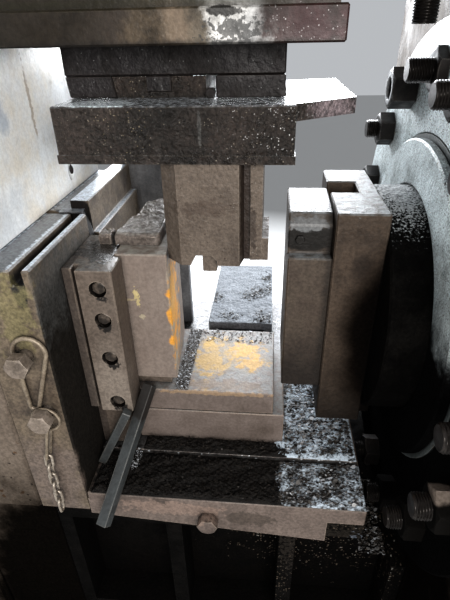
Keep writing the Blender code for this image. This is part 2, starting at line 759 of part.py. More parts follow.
def build_upper_tools():
    """Adapter, clamp jaws, tool holder with its key and clamp bolt, and the punch."""
    oily = finish("adapter_oily_black", (0.05, 0.042, 0.04), 0.4, 0.6)
    brown = finish("holder_oily_brown", (0.075, 0.058, 0.05), 0.45, 0.6)
    taupe = finish("punch_taupe_steel", (0.2, 0.155, 0.125), 0.55, 0.6)
    depth = (ADAPTER_FRONT, ADAPTER_REAR)
    block(
        "adapter_plate",
        (ADAPTER_LEFT, ADAPTER_RIGHT),
        depth,
        (JAW_TOP + SEAT, SLIDE_BOTTOM - SEAT),
        oily,
        0.003,
    )
    left_jaw = [
        (ADAPTER_LEFT + 0.004, HOLDER_TOP + SEAT),
        (TONGUE_LEFT - 0.003, HOLDER_TOP + SEAT),
        (TONGUE_LEFT - 0.0095, JAW_TOP),
        (ADAPTER_LEFT, JAW_TOP),
    ]
    prism("left_clamp_jaw", [left_jaw], "Y", (ADAPTER_FRONT + 0.002, ADAPTER_REAR), oily, 0.002)
    right_jaw = [
        (CLAMP_BOLT_X + 0.0095, HOLDER_TOP + SEAT),
        (ADAPTER_RIGHT + 0.002, HOLDER_TOP + SEAT),
        (ADAPTER_RIGHT, JAW_TOP),
        (CLAMP_BOLT_X + 0.0095, JAW_TOP),
    ]
    prism("right_clamp_jaw", [right_jaw], "Y", (ADAPTER_FRONT - 0.003, ADAPTER_REAR), oily, 0.002)

    holder = block(
        "tool_holder",
        (HOLDER_LEFT, HOLDER_RIGHT),
        (HOLDER_FRONT, HOLDER_REAR),
        (HOLDER_BOTTOM, HOLDER_TOP),
        brown,
        0.0025,
    )
    lip = block(
        "holder_lip",
        (HOLDER_LEFT - 0.001, HOLDER_RIGHT + 0.002),
        (HOLDER_FRONT - HOLDER_LIP_STEP, HOLDER_REAR - 0.01),
        (HOLDER_BOTTOM - 0.0002, HOLDER_BOTTOM + HOLDER_LIP_HEIGHT),
    )
    combine(holder, lip, "UNION")
    wing_outline = [
        (HOLDER_RIGHT - 0.02, HOLDER_FRONT + 0.0002),
        (HOLDER_WING_X, HOLDER_FRONT + 0.098),
        (HOLDER_WING_X, HOLDER_REAR + 0.03),
        (HOLDER_RIGHT - 0.02, HOLDER_REAR - 0.002),
    ]
    wing = prism(
        "holder_wing",
        [wing_outline],
        "Z",
        (HOLDER_TOP - HOLDER_WING_THICKNESS, HOLDER_TOP - 0.0002),
    )
    combine(holder, wing, "UNION")
    tongue_outline = [
        (TONGUE_LEFT, HOLDER_TOP - 0.01),
        (TONGUE_RIGHT, HOLDER_TOP - 0.01),
        (TONGUE_RIGHT, JAW_TOP - 0.001),
        (KEY_RIGHT, JAW_TOP - 0.001),
        (KEY_RIGHT, KEY_BOTTOM),
        (KEY_LEFT, KEY_BOTTOM),
        (KEY_LEFT, JAW_TOP - 0.001),
        (TONGUE_LEFT - 0.0075, JAW_TOP - 0.001),
    ]
    tongue = prism("holder_tongue", [tongue_outline], "Y", (ADAPTER_FRONT + 0.004, ADAPTER_REAR))
    combine(holder, tongue, "UNION")
    block(
        "holder_key",
        (KEY_LEFT + 0.0005, KEY_RIGHT - 0.0005),
        (ADAPTER_FRONT + 0.001, ADAPTER_REAR - 0.02),
        (KEY_BOTTOM + SEAT, JAW_TOP - SEAT),
        oily,
        0.0015,
    )
    hex_bolt(
        "clamp_bolt",
        0.016,
        0.013,
        0.0052,
        0.03,
        (CLAMP_BOLT_X, ADAPTER_FRONT, HOLDER_TOP + 0.0085),
        (0, -1, 0),
        oily,
    )

    side_y = HOLDER_FRONT + PUNCH_CHAMFER
    plan = [
        (PUNCH_LEFT, HOLDER_FRONT),
        (PUNCH_RIGHT, HOLDER_FRONT),
        (PUNCH_RIGHT + 0.007, side_y + 0.003),
        (PUNCH_RIGHT + 0.019, side_y + 0.003),
        (PUNCH_RIGHT + 0.019, side_y - 0.002),
        (PUNCH_SIDE_RIGHT, side_y),
        (PUNCH_SIDE_RIGHT, PUNCH_REAR),
        (PUNCH_SIDE_LEFT, PUNCH_REAR),
        (PUNCH_SIDE_LEFT, side_y),
    ]
    punch = prism("punch", [plan], "Z", (PUNCH_BOTTOM, HOLDER_BOTTOM - 2 * SEAT), taupe)
    foot = block(
        "punch_foot",
        (PUNCH_SIDE_RIGHT - 0.02, PUNCH_SIDE_RIGHT + 0.013),
        (side_y + 0.001, side_y + 0.12),
        (PUNCH_BOTTOM - 0.0005, PUNCH_BOTTOM + 0.046),
    )
    combine(punch, foot, "UNION")
    recess = [
        (-0.068, PUNCH_BOTTOM - 0.01),
        (-0.011, PUNCH_BOTTOM - 0.01),
        (-0.011, PUNCH_BOTTOM + 0.01),
        (-0.022, PUNCH_BOTTOM + 0.021),
        (-0.052, PUNCH_BOTTOM + 0.021),
    ]
    combine(punch, prism("punch_recess", [recess], "Y", (HOLDER_FRONT - 0.02, HOLDER_FRONT + 0.05)))
    peg_hole = block(
        "punch_peg_hole",
        (-0.041 - SEAT, -0.013 + SEAT),
        (HOLDER_FRONT + 0.012, HOLDER_FRONT + 0.04),
        (PUNCH_BOTTOM, PUNCH_BOTTOM + 0.05),
    )
    combine(punch, peg_hole)
    block(
        "punch_peg",
        (-0.041, -0.013),
        (HOLDER_FRONT + 0.012 + SEAT, HOLDER_FRONT + 0.04 - SEAT),
        (PUNCH_BOTTOM - 0.019, PUNCH_BOTTOM + 0.05 - SEAT),
        taupe,
        0.0015,
    )


def build_left_tools():
    """Rail segments, clip, die holder with its bolts, fixed die, packers and cap."""
    olive = finish("rail_olive_brown", (0.2, 0.17, 0.09), 0.65, 0.4)
    steel = finish("die_holder_steel", (0.17, 0.14, 0.11), 0.5, 0.6)
    warm = finish("fixed_die_taupe", (0.24, 0.19, 0.15), 0.55, 0.6)
    left = LEFT_FACE + SEAT
    groove = (RAIL_GROOVE_X - RAIL_GROOVE_WIDTH / 2, RAIL_GROOVE_X + RAIL_GROOVE_WIDTH / 2)
    rail_outline = [
        (left, RAIL_BOTTOM),
        (RAIL_RIGHT, RAIL_BOTTOM),
        (RAIL_RIGHT, RAIL_TOP),
        (groove[1], RAIL_TOP),
        (groove[1], RAIL_TOP - RAIL_GROOVE_DEPTH),
        (groove[0], RAIL_TOP - RAIL_GROOVE_DEPTH),
        (groove[0], RAIL_TOP),
        (left, RAIL_TOP),
    ]
    rail = prism("front_rail", [rail_outline], "Y", (LEFT_FRONT, RAIL_JOINT_Y), olive, 0.003)
    for index, (x, z) in enumerate(RAIL_BOLTS):
        seat = (x, LEFT_FRONT, z)
        drill(rail, RAIL_BOLT_R + 0.0004, seat, (0, -1, 0), 0.07)
        hex_bolt(
            f"rail_bolt_{index + 1}",
            0.041,
            0.024,
            RAIL_BOLT_R,
            0.068,
            seat,
            (0, -1, 0),
            steel,
            RAIL_BOLT_STAND,
        )
    clip = [
        (-0.372, RAIL_TOP + SEAT),
        (-0.322, RAIL_TOP + SEAT),
        (-0.3085, RAIL_TOP - 0.068),
        (-0.290, RAIL_TOP - 0.070),
        (-0.290, RAIL_TOP - 0.067),
        (-0.3062, RAIL_TOP - 0.065),
        (-0.3195, RAIL_TOP + 0.0035),
        (-0.372, RAIL_TOP + 0.0035),
    ]
    prism("rail_clip", [clip], "Y", (RAIL_JOINT_Y + 0.0006, RAIL_JOINT_Y + RAIL_GAP - 0.0006), steel)
    rear_outline = [
        (left, BED_TOP + SEAT),
        (RAIL_RIGHT, BED_TOP + SEAT),
        (RAIL_RIGHT, BASE_PLATE_TOP + 0.05),
        (REAR_RAIL_RIGHT, BASE_PLATE_TOP + 0.064),
        (REAR_RAIL_RIGHT, REAR_RAIL_LEDGE),
        (REAR_RIB_RIGHT, REAR_RAIL_LEDGE),
        (REAR_RIB_RIGHT, REAR_RAIL_TOP),
        (REAR_RIB_LEFT, REAR_RAIL_TOP),
        (REAR_RIB_LEFT, GUIDE_PLATE_BOTTOM - SEAT),
        (left, GUIDE_PLATE_BOTTOM - SEAT),
    ]
    prism("rear_rail", [rear_outline], "Y", (RAIL_JOINT_Y + RAIL_GAP, LEFT_REAR), olive, 0.003)
    return steel, warm


def build_die_holder(steel, warm):
    """The bolted holder that backs the fixed die, with the die, its packer and its cap."""
    body_left = RAIL_RIGHT + SEAT
    plan = [
        (body_left, -0.19),
        (-0.290, -0.19),
        (-0.290, -0.17),
        (-0.280, -0.17),
        (-0.280, DIE_HOLDER_FRONT),
        (DIE_HOLDER_RIGHT, DIE_HOLDER_FRONT),
        (DIE_HOLDER_RIGHT, FIXED_DIE_FRONT - SEAT),
        (DIE_HOLDER_SEAT, FIXED_DIE_FRONT - SEAT),
        (DIE_HOLDER_SEAT, RAIL_JOINT_Y),
        (body_left, RAIL_JOINT_Y),
    ]
    bottom = BASE_PLATE_TOP + 2 * SEAT + BED_PLATE_THICKNESS
    holder = prism("die_holder", [plan], "Z", (bottom, DIE_HOLDER_TOP), steel, 0.002)
    ledge_cuts = (
        ((-0.32, -0.19), (DIE_HOLDER_FRONT - 0.02, DIE_HOLDER_FRONT + 0.045)),
        ((-0.236, -0.19), (DIE_HOLDER_FRONT - 0.02, FIXED_DIE_FRONT + 0.01)),
    )
    for index, (x, y) in enumerate(ledge_cuts):
        combine(holder, block(f"holder_ledge_{index}", x, y, (bottom - 0.02, DIE_HOLDER_LEDGE - index * 0.001)))
    for index, down in enumerate(HOLDER_BOLTS_DOWN):
        z = DIE_HOLDER_TOP - down
        seat = (HOLDER_BOLTS_X, DIE_HOLDER_FRONT, z)
        floor = (HOLDER_BOLTS_X, DIE_HOLDER_FRONT + COUNTERBORE_DEPTH, z)
        drill(holder, COUNTERBORE_R, seat, (0, -1, 0), COUNTERBORE_DEPTH)
        drill(holder, 0.0084, floor, (0, -1, 0), 0.035)
        hex_bolt(f"holder_bolt_{index + 1}", 0.024, 0.022, 0.008, 0.033, floor, (0, -1, 0), steel)

    die_plan = [
        (DIE_HOLDER_SEAT + SEAT, FIXED_DIE_FRONT),
        (FIXED_DIE_FACE, FIXED_DIE_FRONT),
        (FIXED_DIE_FACE - FIXED_DIE_TAPER, FIXED_DIE_REAR),
        (DIE_HOLDER_SEAT + SEAT, FIXED_DIE_REAR),
    ]
    prism("fixed_die", [die_plan], "Z", (FIXED_DIE_BOTTOM, FIXED_DIE_TOP), warm, 0.0025)
    block(
        "die_packer",
        (DIE_HOLDER_SEAT + SEAT, FIXED_DIE_FACE - 0.02),
        (FIXED_DIE_FRONT + 0.025, FIXED_DIE_REAR),
        (LOWER_DIE_TOP + SEAT, FIXED_DIE_BOTTOM - SEAT),
        steel,
        0.002,
    )
    cap_plan = [
        (-0.238, -0.085),
        (-0.137, -0.085),
        (-0.137, 0.19),
        (-0.215, 0.13),
        (-0.219, 0.02),
        (-0.228, 0.012),
        (-0.231, -0.06),
    ]
    cap_bottom = FIXED_DIE_TOP + SEAT
    prism("die_cap", [cap_plan], "Z", (cap_bottom, cap_bottom + DIE_CAP_THICKNESS), warm, 0.003)
    block(
        "cap_stop",
        (-0.272, -0.242),
        (-0.075, -0.035),
        (DIE_HOLDER_TOP + SEAT, DIE_HOLDER_TOP + 0.024),
        warm,
        0.002,
    )


def build_links():
    """Pear-shaped link and hanging chain on the rail's bolts, and the bars that lean there."""
    forged = finish("link_forged_steel", (0.3, 0.24, 0.18), 0.5, 0.7)
    bright = finish("chain_worn_zinc", (0.36, 0.33, 0.29), 0.4, 0.8)
    grey = finish("bar_dark_grey", (0.1, 0.1, 0.11), 0.45, 0.7)
    centre = (RAIL_BOLTS[0][0] + 0.011, RAIL_BOLTS[0][1] + 0.011)
    foot = (RAIL_BOLTS[1][0] - 0.0205, RAIL_BOLTS[1][1] + 0.0180)
    pear = loop_outline(centre, PEAR_TOP_R, foot, PEAR_BOTTOM_R, 12)
    wire_loop("pear_link", pear, (0.0, PEAR_Y, 0.0), (1, 0, 0), PEAR_WIRE_R, forged)

    bolt_x, bolt_z = RAIL_BOLTS[1]
    ring_z = bolt_z + RAIL_BOLT_R + RING_WIRE_R + LINK_PLAY - RING_R
    ring = [(RING_R * cos(2 * pi * step / 24), RING_R * sin(2 * pi * step / 24)) for step in range(24)]
    wire_loop("chain_ring", ring, (bolt_x, CHAIN_Y, ring_z), (1, 0, 0), RING_WIRE_R, forged)

    # Each loop's inside top hangs on the inside bottom of the one above
    hook = Vector((bolt_x, CHAIN_Y, ring_z - RING_R))
    wire_above = RING_WIRE_R
    for index in range(CHAIN_LINKS + 1):
        first = index == 0
        length, width, wire_r = OBLONG_SIZE if first else CHAIN_LINK_SIZE
        lean = radians(CHAIN_LEAN[index])
        up = Vector((sin(lean), 0.0, cos(lean)))
        across = (0, 1, 0) if index % 2 == 0 else (cos(lean), 0.0, -sin(lean))
        half = length / 2 - wire_r
        bend = width / 2 - wire_r
        top = hook + up * (wire_above + wire_r + LINK_PLAY)
        outline = loop_outline((0.0, half - bend), bend, (0.0, bend - half), bend, 8)
        label = "oblong_link" if first else f"chain_link_{index}"
        wire_loop(label, outline, top - up * half, across, wire_r, forged if first else bright, up)
        hook = top - up * 2 * half
        wire_above = wire_r

    bar("leaning_bar", LEANING_BAR_SIDE, LEANING_BAR_FOOT, LEANING_BAR_TIP, grey, 0.0015)
    bar("short_bar", SHORT_BAR_SIDE, SHORT_BAR_FOOT, SHORT_BAR_TIP, grey, 0.0015)


def build_lower_tools():
    """Lower die on its base, and the plates behind it."""
    warm = finish("lower_die_taupe", (0.26, 0.21, 0.16), 0.55, 0.5)
    bottom = BASE_PLATE_TOP + 2 * SEAT + BED_PLATE_THICKNESS
    left = DIE_HOLDER_SEAT + 2 * SEAT
    base_top = bottom + LOWER_BASE_HEIGHT
    depth = (LOWER_DIE_FRONT, LOWER_DIE_REAR)
    base_depth = (LOWER_DIE_FRONT - 0.003, LOWER_DIE_REAR)
    block("lower_die_base", (left, LOWER_BASE_RIGHT), base_depth, (bottom, base_top), warm, 0.002)
    block("lower_die", (left, LOWER_DIE_RIGHT), depth, (base_top + SEAT, LOWER_DIE_TOP), warm, 0.002)
    leg_left = TABLE_LEFT + TABLE_THICKNESS
    leg_right = TABLE_RIGHT - TABLE_THICKNESS
    table_outline = [
        (TABLE_LEFT, bottom),
        (leg_left, bottom),
        (leg_left, TABLE_TOP - TABLE_THICKNESS),
        (leg_right, TABLE_TOP - TABLE_THICKNESS),
        (leg_right, bottom),
        (TABLE_RIGHT, bottom),
        (TABLE_RIGHT, TABLE_TOP),
        (TABLE_LEFT, TABLE_TOP),
    ]
    pale = finish("rear_table_pale", (0.5, 0.52, 0.55), 0.35, 0.6)
    prism("rear_table", [table_outline], "Y", (TABLE_FRONT, TABLE_REAR), pale, 0.002)
    block(
        "rear_guard",
        (GUARD_LEFT, GUARD_RIGHT),
        (GUARD_FRONT, GUARD_FRONT + GUARD_THICKNESS),
        (bottom, GUARD_TOP),
        finish("rear_guard_grey", (0.3, 0.31, 0.32), 0.5, 0.4),
        0.002,
    )


def build_side_ram():
    """Side cylinder with its flange, studs and nuts, gland, ram, ram head and side die."""
    pale = finish("flange_pale_wet", (0.5, 0.52, 0.52), 0.3, 0.7)
    dark = finish("ram_dark_oil", (0.045, 0.04, 0.038), 0.4, 0.7)
    rusty = finish("ram_head_rust", (0.2, 0.11, 0.07), 0.6, 0.5)
    bore = SIDE_RAM_R + RAM_CLEARANCE
    centre = (0.0, SIDE_Y, SIDE_Z)
    bore_end = SIDE_BARREL_END - SIDE_END_CAP
    barrel_profile = [
        (0.0, SIDE_BARREL_END),
        (SIDE_BARREL_R, SIDE_BARREL_END),
        (SIDE_BARREL_R, SIDE_FLANGE_FACE),
        (bore, SIDE_FLANGE_FACE),
        (bore, bore_end),
        (0.0, bore_end),
    ]
    barrel = turned("side_cylinder", barrel_profile, centre, "X", pale, 64)
    port_top = (SIDE_BARREL_END - 0.05, SIDE_Y, SIDE_Z + SIDE_BARREL_R + 0.05)
    port_low = (SIDE_BARREL_END - 0.05, SIDE_Y, SIDE_Z + SIDE_BARREL_R - 0.03)
    combine(barrel, rod("side_port", 0.038, port_low, port_top, None, 24), "UNION")
    drill(barrel, 0.018, port_top, (0, 0, 1), 0.05)
    flange_profile = [
        (SIDE_FLANGE_R, RIGHT_FACE - SEAT),
        (SIDE_FLANGE_R, SIDE_FLANGE_FACE),
        (SIDE_BARREL_R + SEAT, SIDE_FLANGE_FACE),
        (SIDE_BARREL_R + SEAT, RIGHT_FACE - SEAT),
    ]
    flange = turned("side_flange", flange_profile, centre, "X", pale, 64)
    for index, (y, z) in enumerate(ring_points(STUD_CIRCLE_R, STUD_COUNT, STUD_PHASE, (SIDE_Y, SIDE_Z))):
        inside = SIDE_FLANGE_FACE + 0.01
        flats = NUT_FLATS
        height = NUT_HEIGHT
        if index == DEEP_NUT_STUD:
            flats = DEEP_NUT_FLATS
            height = DEEP_NUT_HEIGHT
        elif index == LOCK_NUT_STUD:
            height = LOCK_NUT_HEIGHT
        nut_end = SIDE_FLANGE_FACE - height
        nut = rod(f"flange_nut_{index + 1}", hex_radius(flats), (inside, y, z), (nut_end, y, z), None, 6)
        combine(flange, nut, "UNION")
        if index == DEEP_NUT_STUD:
            drill(flange, STUD_R, (nut_end, y, z), (-1, 0, 0), 0.014)
            continue
        end = (SIDE_FLANGE_FACE - STUD_PROUD, y, z)
        combine(flange, rod(f"flange_stud_{index + 1}", STUD_R, (inside, y, z), end, None, 12), "UNION")
    gland = [
        (GLAND_R, SIDE_FLANGE_FACE - SEAT),
        (GLAND_R, GLAND_FACE),
        (bore, GLAND_FACE),
        (bore, SIDE_FLANGE_FACE - SEAT),
    ]
    turned("side_gland", gland, centre, "X", pale, 64)
    ram = [
        (0.0, bore_end - 0.10),
        (SIDE_RAM_R, bore_end - 0.10),
        (SIDE_RAM_R, HEAD_RIGHT + SEAT),
        (0.0, HEAD_RIGHT + SEAT),
    ]
    turned("side_ram", ram, centre, "X", dark, 64)
    head_plan = [
        (HEAD_LEFT, HEAD_FRONT),
        (HEAD_RIGHT, HEAD_FRONT),
        (HEAD_RIGHT, HEAD_REAR),
        (HEAD_LEFT, HEAD_REAR),
        (HEAD_LEFT, HEAD_SLOT[1]),
        (HEAD_LEFT + HEAD_SLOT_DEPTH, HEAD_SLOT[1]),
        (HEAD_LEFT + HEAD_SLOT_DEPTH, HEAD_SLOT[0]),
        (HEAD_LEFT, HEAD_SLOT[0]),
    ]
    prism("ram_head", [head_plan], "Z", (HEAD_BOTTOM, HEAD_TOP), rusty, 0.003)
    die_side = [
        (SIDE_DIE_FRONT, SIDE_DIE_BOTTOM),
        (SIDE_DIE_REAR, SIDE_DIE_BOTTOM),
        (SIDE_DIE_REAR, SIDE_DIE_TOP + 0.005),
        (SIDE_DIE_FRONT + 0.05, SIDE_DIE_TOP),
        (SIDE_DIE_FRONT + 0.03, SIDE_DIE_TOP - 0.02),
        (SIDE_DIE_FRONT + 0.03, SIDE_DIE_LEDGE),
        (SIDE_DIE_FRONT, SIDE_DIE_LEDGE),
    ]
    die = prism("side_die", [die_side], "X", (SIDE_DIE_FACE, HEAD_LEFT - SEAT), rusty, 0.003)
    bolt_seat = (0.152, SIDE_DIE_FRONT + 0.03, SIDE_DIE_LEDGE + 0.03)
    drill(die, 0.0064, bolt_seat, (0, -1, 0), 0.03)
    hex_bolt("side_die_bolt", 0.017, 0.008, 0.006, 0.028, bolt_seat, (0, -1, 0), rusty)


def main():
    """Build every sub-assembly."""
    clear_scene()
    build_bed()
    build_frame()
    build_main_cylinder()
    build_slide()
    build_upper_tools()
    steel, warm = build_left_tools()
    build_die_holder(steel, warm)
    build_links()
    build_lower_tools()
    build_side_ram()


main()
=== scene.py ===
"""Looks of a heavy hydraulic shop press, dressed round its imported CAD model.

The press stands on a pale studio floor at z = 0 and is seen from the front, along +Y, with +X to
the right. Every CAD node gets a procedural finish. Fasteners, links, the chain, turned pieces and
loose scale are surfaces worked out with numpy, in metres, in the frame of the CAD model.
"""

from __future__ import annotations

import logging
from abc import ABC, abstractmethod
from dataclasses import dataclass, field
from enum import Enum
from math import cos, pi, radians, sin

import bmesh
import bpy
import numpy as np
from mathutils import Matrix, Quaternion, Vector

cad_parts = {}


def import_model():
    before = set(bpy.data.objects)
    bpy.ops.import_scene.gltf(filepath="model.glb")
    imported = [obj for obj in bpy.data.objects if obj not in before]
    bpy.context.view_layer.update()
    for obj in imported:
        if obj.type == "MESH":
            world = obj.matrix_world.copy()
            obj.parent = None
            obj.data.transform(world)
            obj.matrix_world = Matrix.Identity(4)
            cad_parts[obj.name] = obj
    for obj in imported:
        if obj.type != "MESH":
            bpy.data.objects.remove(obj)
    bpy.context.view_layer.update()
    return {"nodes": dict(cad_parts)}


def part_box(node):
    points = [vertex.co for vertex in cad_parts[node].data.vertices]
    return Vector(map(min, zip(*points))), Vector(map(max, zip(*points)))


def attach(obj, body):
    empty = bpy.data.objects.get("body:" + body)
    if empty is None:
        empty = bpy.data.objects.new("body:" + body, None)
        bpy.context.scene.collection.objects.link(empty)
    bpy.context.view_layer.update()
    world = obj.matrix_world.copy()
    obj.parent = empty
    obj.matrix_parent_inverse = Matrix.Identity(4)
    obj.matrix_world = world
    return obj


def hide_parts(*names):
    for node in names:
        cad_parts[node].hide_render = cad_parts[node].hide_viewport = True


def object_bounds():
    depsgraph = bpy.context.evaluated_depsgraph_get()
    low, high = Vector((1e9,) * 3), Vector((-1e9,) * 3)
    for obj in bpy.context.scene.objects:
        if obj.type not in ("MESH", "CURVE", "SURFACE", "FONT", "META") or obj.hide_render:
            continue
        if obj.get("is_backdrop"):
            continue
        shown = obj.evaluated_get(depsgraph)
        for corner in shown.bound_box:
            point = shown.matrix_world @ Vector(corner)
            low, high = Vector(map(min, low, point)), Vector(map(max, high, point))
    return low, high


log = logging.getLogger("press")

Pair = tuple[float, float]
Triple = tuple[float, float, float]
Socket = bpy.types.NodeSocket


class Axis(Enum):
    """Direction that a turned piece or a fastener points along."""

    LEFT = (-1.0, 0.0, 0.0)
    FRONT = (0.0, -1.0, 0.0)
    UP = (0.0, 0.0, 1.0)

    def frame(self) -> np.ndarray:
        """Rows of two cross directions and the axis itself, right-handed."""
        along = np.array(self.value)
        first = np.array((0.0, 1.0, 0.0) if self is Axis.LEFT else (1.0, 0.0, 0.0))
        return np.stack([first, np.cross(along, first), along])


class Body(Enum):
    """CAD body that a piece rides on."""

    FRAME = "frame"
    SLIDE = "slide_unit"
    SIDE = "side_ram_unit"


# ---------------------------------------------------------------- finishes


@dataclass(frozen=True)
class Area:
    """Area of another colour: an ellipsoid round a point, with an edge that noise eats into. It holds stains
    and paint, and on some finishes painted shade and painted highlights.
    """

    centre: Triple
    reach: Triple
    colour: Triple
    strength: float = 1.0
    breakup: float = 1.2
    grain: float = 45.0
    rough: float | None = None
    soft: float = 0.22


@dataclass(frozen=True)
class Specks:
    """Small bright or dark flecks, chipped spots and on some finishes painted glints: ragged cells of a Voronoi
    pattern, of which a share is filled.
    """

    colour: Triple
    share: float = 0.25
    scale: float = 190.0
    size: float = 0.36
    where: Area | None = None


@dataclass(frozen=True)
class Finish:
    """Weathered surface, with painted shade and highlights on some finishes, as colours in linear light and
    lengths in metres.
    """

    base: Triple
    mottle: Triple
    grime: Triple
    mottle_scale: float = 16.0
    mottle_share: float = 0.5
    grime_scale: float = 7.0
    grime_share: float = 0.35
    grain: float = 0.2
    grain_scale: float = 170.0
    streaks: float = 0.25
    streak_run: Triple = (60.0, 60.0, 5.0)
    # Colour of upward faces: dust and scale on some finishes, and a painted highlight of sky and glare on the
    # pale blue-grey ones.
    top: Triple | None = None
    top_share: float = 0.8
    top_even: float = 0.2
    top_rough: float = 0.22
    specks: tuple[Specks, ...] = ()
    wear: Triple | None = None
    rough: Pair = (0.42, 0.7)
    metallic: float = 0.1
    relief: float = 0.0009
    lump_scale: float = 55.0
    lumps: float = 0.5
    gloss: float = 0.5
    crevice: float = 0.7
    crevice_reach: float = 0.022
    bands: tuple[tuple[float, Triple], ...] = ()
    areas: tuple[Area, ...] = ()


# How far each noise lies from the one before it, so that no two are alike
NOISE_STEP = 3.7
# How far in from an edge its wear shows
EDGE_RADIUS = 0.0035

SHADER_INPUTS = {
    "colour": "Base Color", "gloss": "Specular IOR Level", "rough": "Roughness", "metallic": "Metallic",
}


class Graph:
    """One material's node tree, with short calls that return sockets."""

    def __init__(self, name: str) -> None:
        """Start an empty tree with a shader and an output."""
        self.material = bpy.data.materials.new(name)
        self.material.use_nodes = True
        self.tree = self.material.node_tree
        self.tree.nodes.clear()
        self.shader = self.node("BsdfPrincipled")
        self.node("OutputMaterial", self.shader.outputs["BSDF"])
        self.place = self.node("TexCoord").outputs["Object"]
        self.shift = 0.0

    def put(self, socket: Socket, value: Socket | float | tuple) -> None:
        """Link a socket, or set its value. A colour of three numbers gets its alpha."""
        if isinstance(value, bpy.types.NodeSocket):
            self.tree.links.new(value, socket)
        elif isinstance(value, tuple) and socket.type == "RGBA":
            socket.default_value = (*value, 1.0)
        else:
            socket.default_value = value

    def node(self, kind: str, *values: Socket | float | tuple, **settings: object) -> bpy.types.Node:
        """Add a node.

        Args:
            kind: its type, without the leading "ShaderNode".
            values: its inputs, in order.
            settings: its own settings by name.

        Returns:
            The node.
        """
        node = self.tree.nodes.new(f"ShaderNode{kind}")
        for name, setting in settings.items():
            setattr(node, name, setting)
        for socket, value in zip(node.inputs, values):
            self.put(socket, value)
        return node

    def maths(self, operation: str, *values: Socket | float) -> Socket:
        """Result of one Math node."""
        return self.node("Math", *values, operation=operation).outputs[0]

    def vector(self, operation: str, *values: Socket | Triple, result: str = "Vector") -> Socket:
        """Result of one Vector Math node, which for a length or a dot product is its "Value"."""
        return self.node("VectorMath", *values, operation=operation).outputs[result]

    def levels(self, value: Socket, low: float, high: float, to_low: float = 0.0,
               to_high: float = 1.0) -> Socket:
        """Ease a value from one range to another.

        Args:
            value: socket to read.
            low: value that becomes to_low.
            high: value that becomes to_high.
            to_low: result at and below low.
            to_high: result at and above high.

        Returns:
            The eased value's socket.
        """
        node = self.node("MapRange", value, low, high, to_low, to_high, interpolation_type="SMOOTHSTEP")
        return node.outputs["Result"]

    def noise(self, scale: float, detail: float = 5.0, rough: float = 0.55,
              run: Triple | None = None) -> Socket:
        """Fractal noise on Object coordinates, shifted to its own place each time.

        Args:
            scale: cells per metre, used where run isn't given.
            detail: octaves.
            rough: share that each finer octave keeps.
            run: cells per metre along each axis, for a stretched pattern.

        Returns:
            The noise value's socket.
        """
        self.shift += NOISE_STEP
        mapping = self.node("Mapping", self.place)
        mapping.inputs["Scale"].default_value = run or (scale, scale, scale)
        mapping.inputs["Location"].default_value = (self.shift, -self.shift, self.shift * 0.5)
        node = self.node("TexNoise", mapping.outputs["Vector"])
        for name, setting in (("Scale", 1.0), ("Detail", detail), ("Roughness", rough)):
            node.inputs[name].default_value = setting
        return node.outputs["Fac"]

    def chips_and_glints(self, specks: Specks) -> Socket:
        """Mask of scattered flecks, chipped spots and on some finishes painted glints: near a cell's centre, in
        the share of cells that are filled.
        """
        jitter = self.node("TexNoise", self.place)
        jitter.inputs["Scale"].default_value = specks.scale * 1.6
        shift = self.vector("SUBTRACT", jitter.outputs["Color"], (0.5, 0.5, 0.5))
        shift = self.vector("MULTIPLY", shift, (1.1 / specks.scale,) * 3)
        cells = self.node("TexVoronoi", self.vector("ADD", self.place, shift))
        cells.inputs["Scale"].default_value = specks.scale
        lot = self.node("SeparateColor", cells.outputs["Color"]).outputs[0]
        near = self.levels(cells.outputs["Distance"], specks.size, specks.size * 0.6)
        picked = self.maths("GREATER_THAN", lot, 1.0 - specks.share)
        if specks.where is not None:
            picked = self.maths("MULTIPLY", picked, self.area(specks.where))
        return self.maths("MULTIPLY", near, picked)

    def crevice(self, reach: float) -> Socket:
        """Mask of inside corners and narrow gaps, where shade is painted, from how much of the air within reach
        is shut off.
        """
        node = self.node("AmbientOcclusion", samples=4)
        node.inputs["Distance"].default_value = reach
        return self.levels(node.outputs["AO"], 0.85, 0.30)

    def mix(self, share: Socket | float, first: Socket | Triple, second: Socket | Triple,
            mode: str = "MIX") -> Socket:
        """Blend two colours.

        Args:
            share: how much of the second colour shows.
            first: colour underneath.
            second: colour on top.
            mode: name of the blend mode.

        Returns:
            The colour's socket.
        """
        node = self.node("Mix", share, data_type="RGBA", blend_type=mode)
        self.put(node.inputs[6], first)
        self.put(node.inputs[7], second)
        return node.outputs[2]

    def area(self, area: Area) -> Socket:
        """Mask of an area: 1 - |(p - centre) / reach| plus noise, eased to a ragged edge."""
        away = self.vector("DIVIDE", self.vector("SUBTRACT", self.place, area.centre), area.reach)
        depth = self.maths("SUBTRACT", 1.0, self.vector("LENGTH", away, result="Value"))
        ragged = self.maths("SUBTRACT", self.noise(area.grain, 6.0, 0.62), 0.5)
        depth = self.maths("MULTIPLY_ADD", ragged, area.breakup * 2.0, depth)
        return self.maths("MULTIPLY", self.levels(depth, 0.0, area.soft), area.strength)

    def bands(self, stops: tuple[tuple[float, Triple], ...]) -> Socket:
        """Colours that follow one another along X, at a place that noise shifts a little.

        Args:
            stops: (x in metres, colour), from left to right.

        Returns:
            The colour's socket.
        """
        along = self.node("SeparateXYZ", self.place).outputs["X"]
        along = self.maths("MULTIPLY_ADD", self.noise(24.0, 6.0, 0.65), 0.10, along)
        low, high = stops[0][0], stops[-1][0]
        share = self.node("MapRange", along, low + 0.05, high + 0.05).outputs["Result"]
        return self.ramp(share, tuple(((x - low) / (high - low), colour) for x, colour in stops), "EASE")

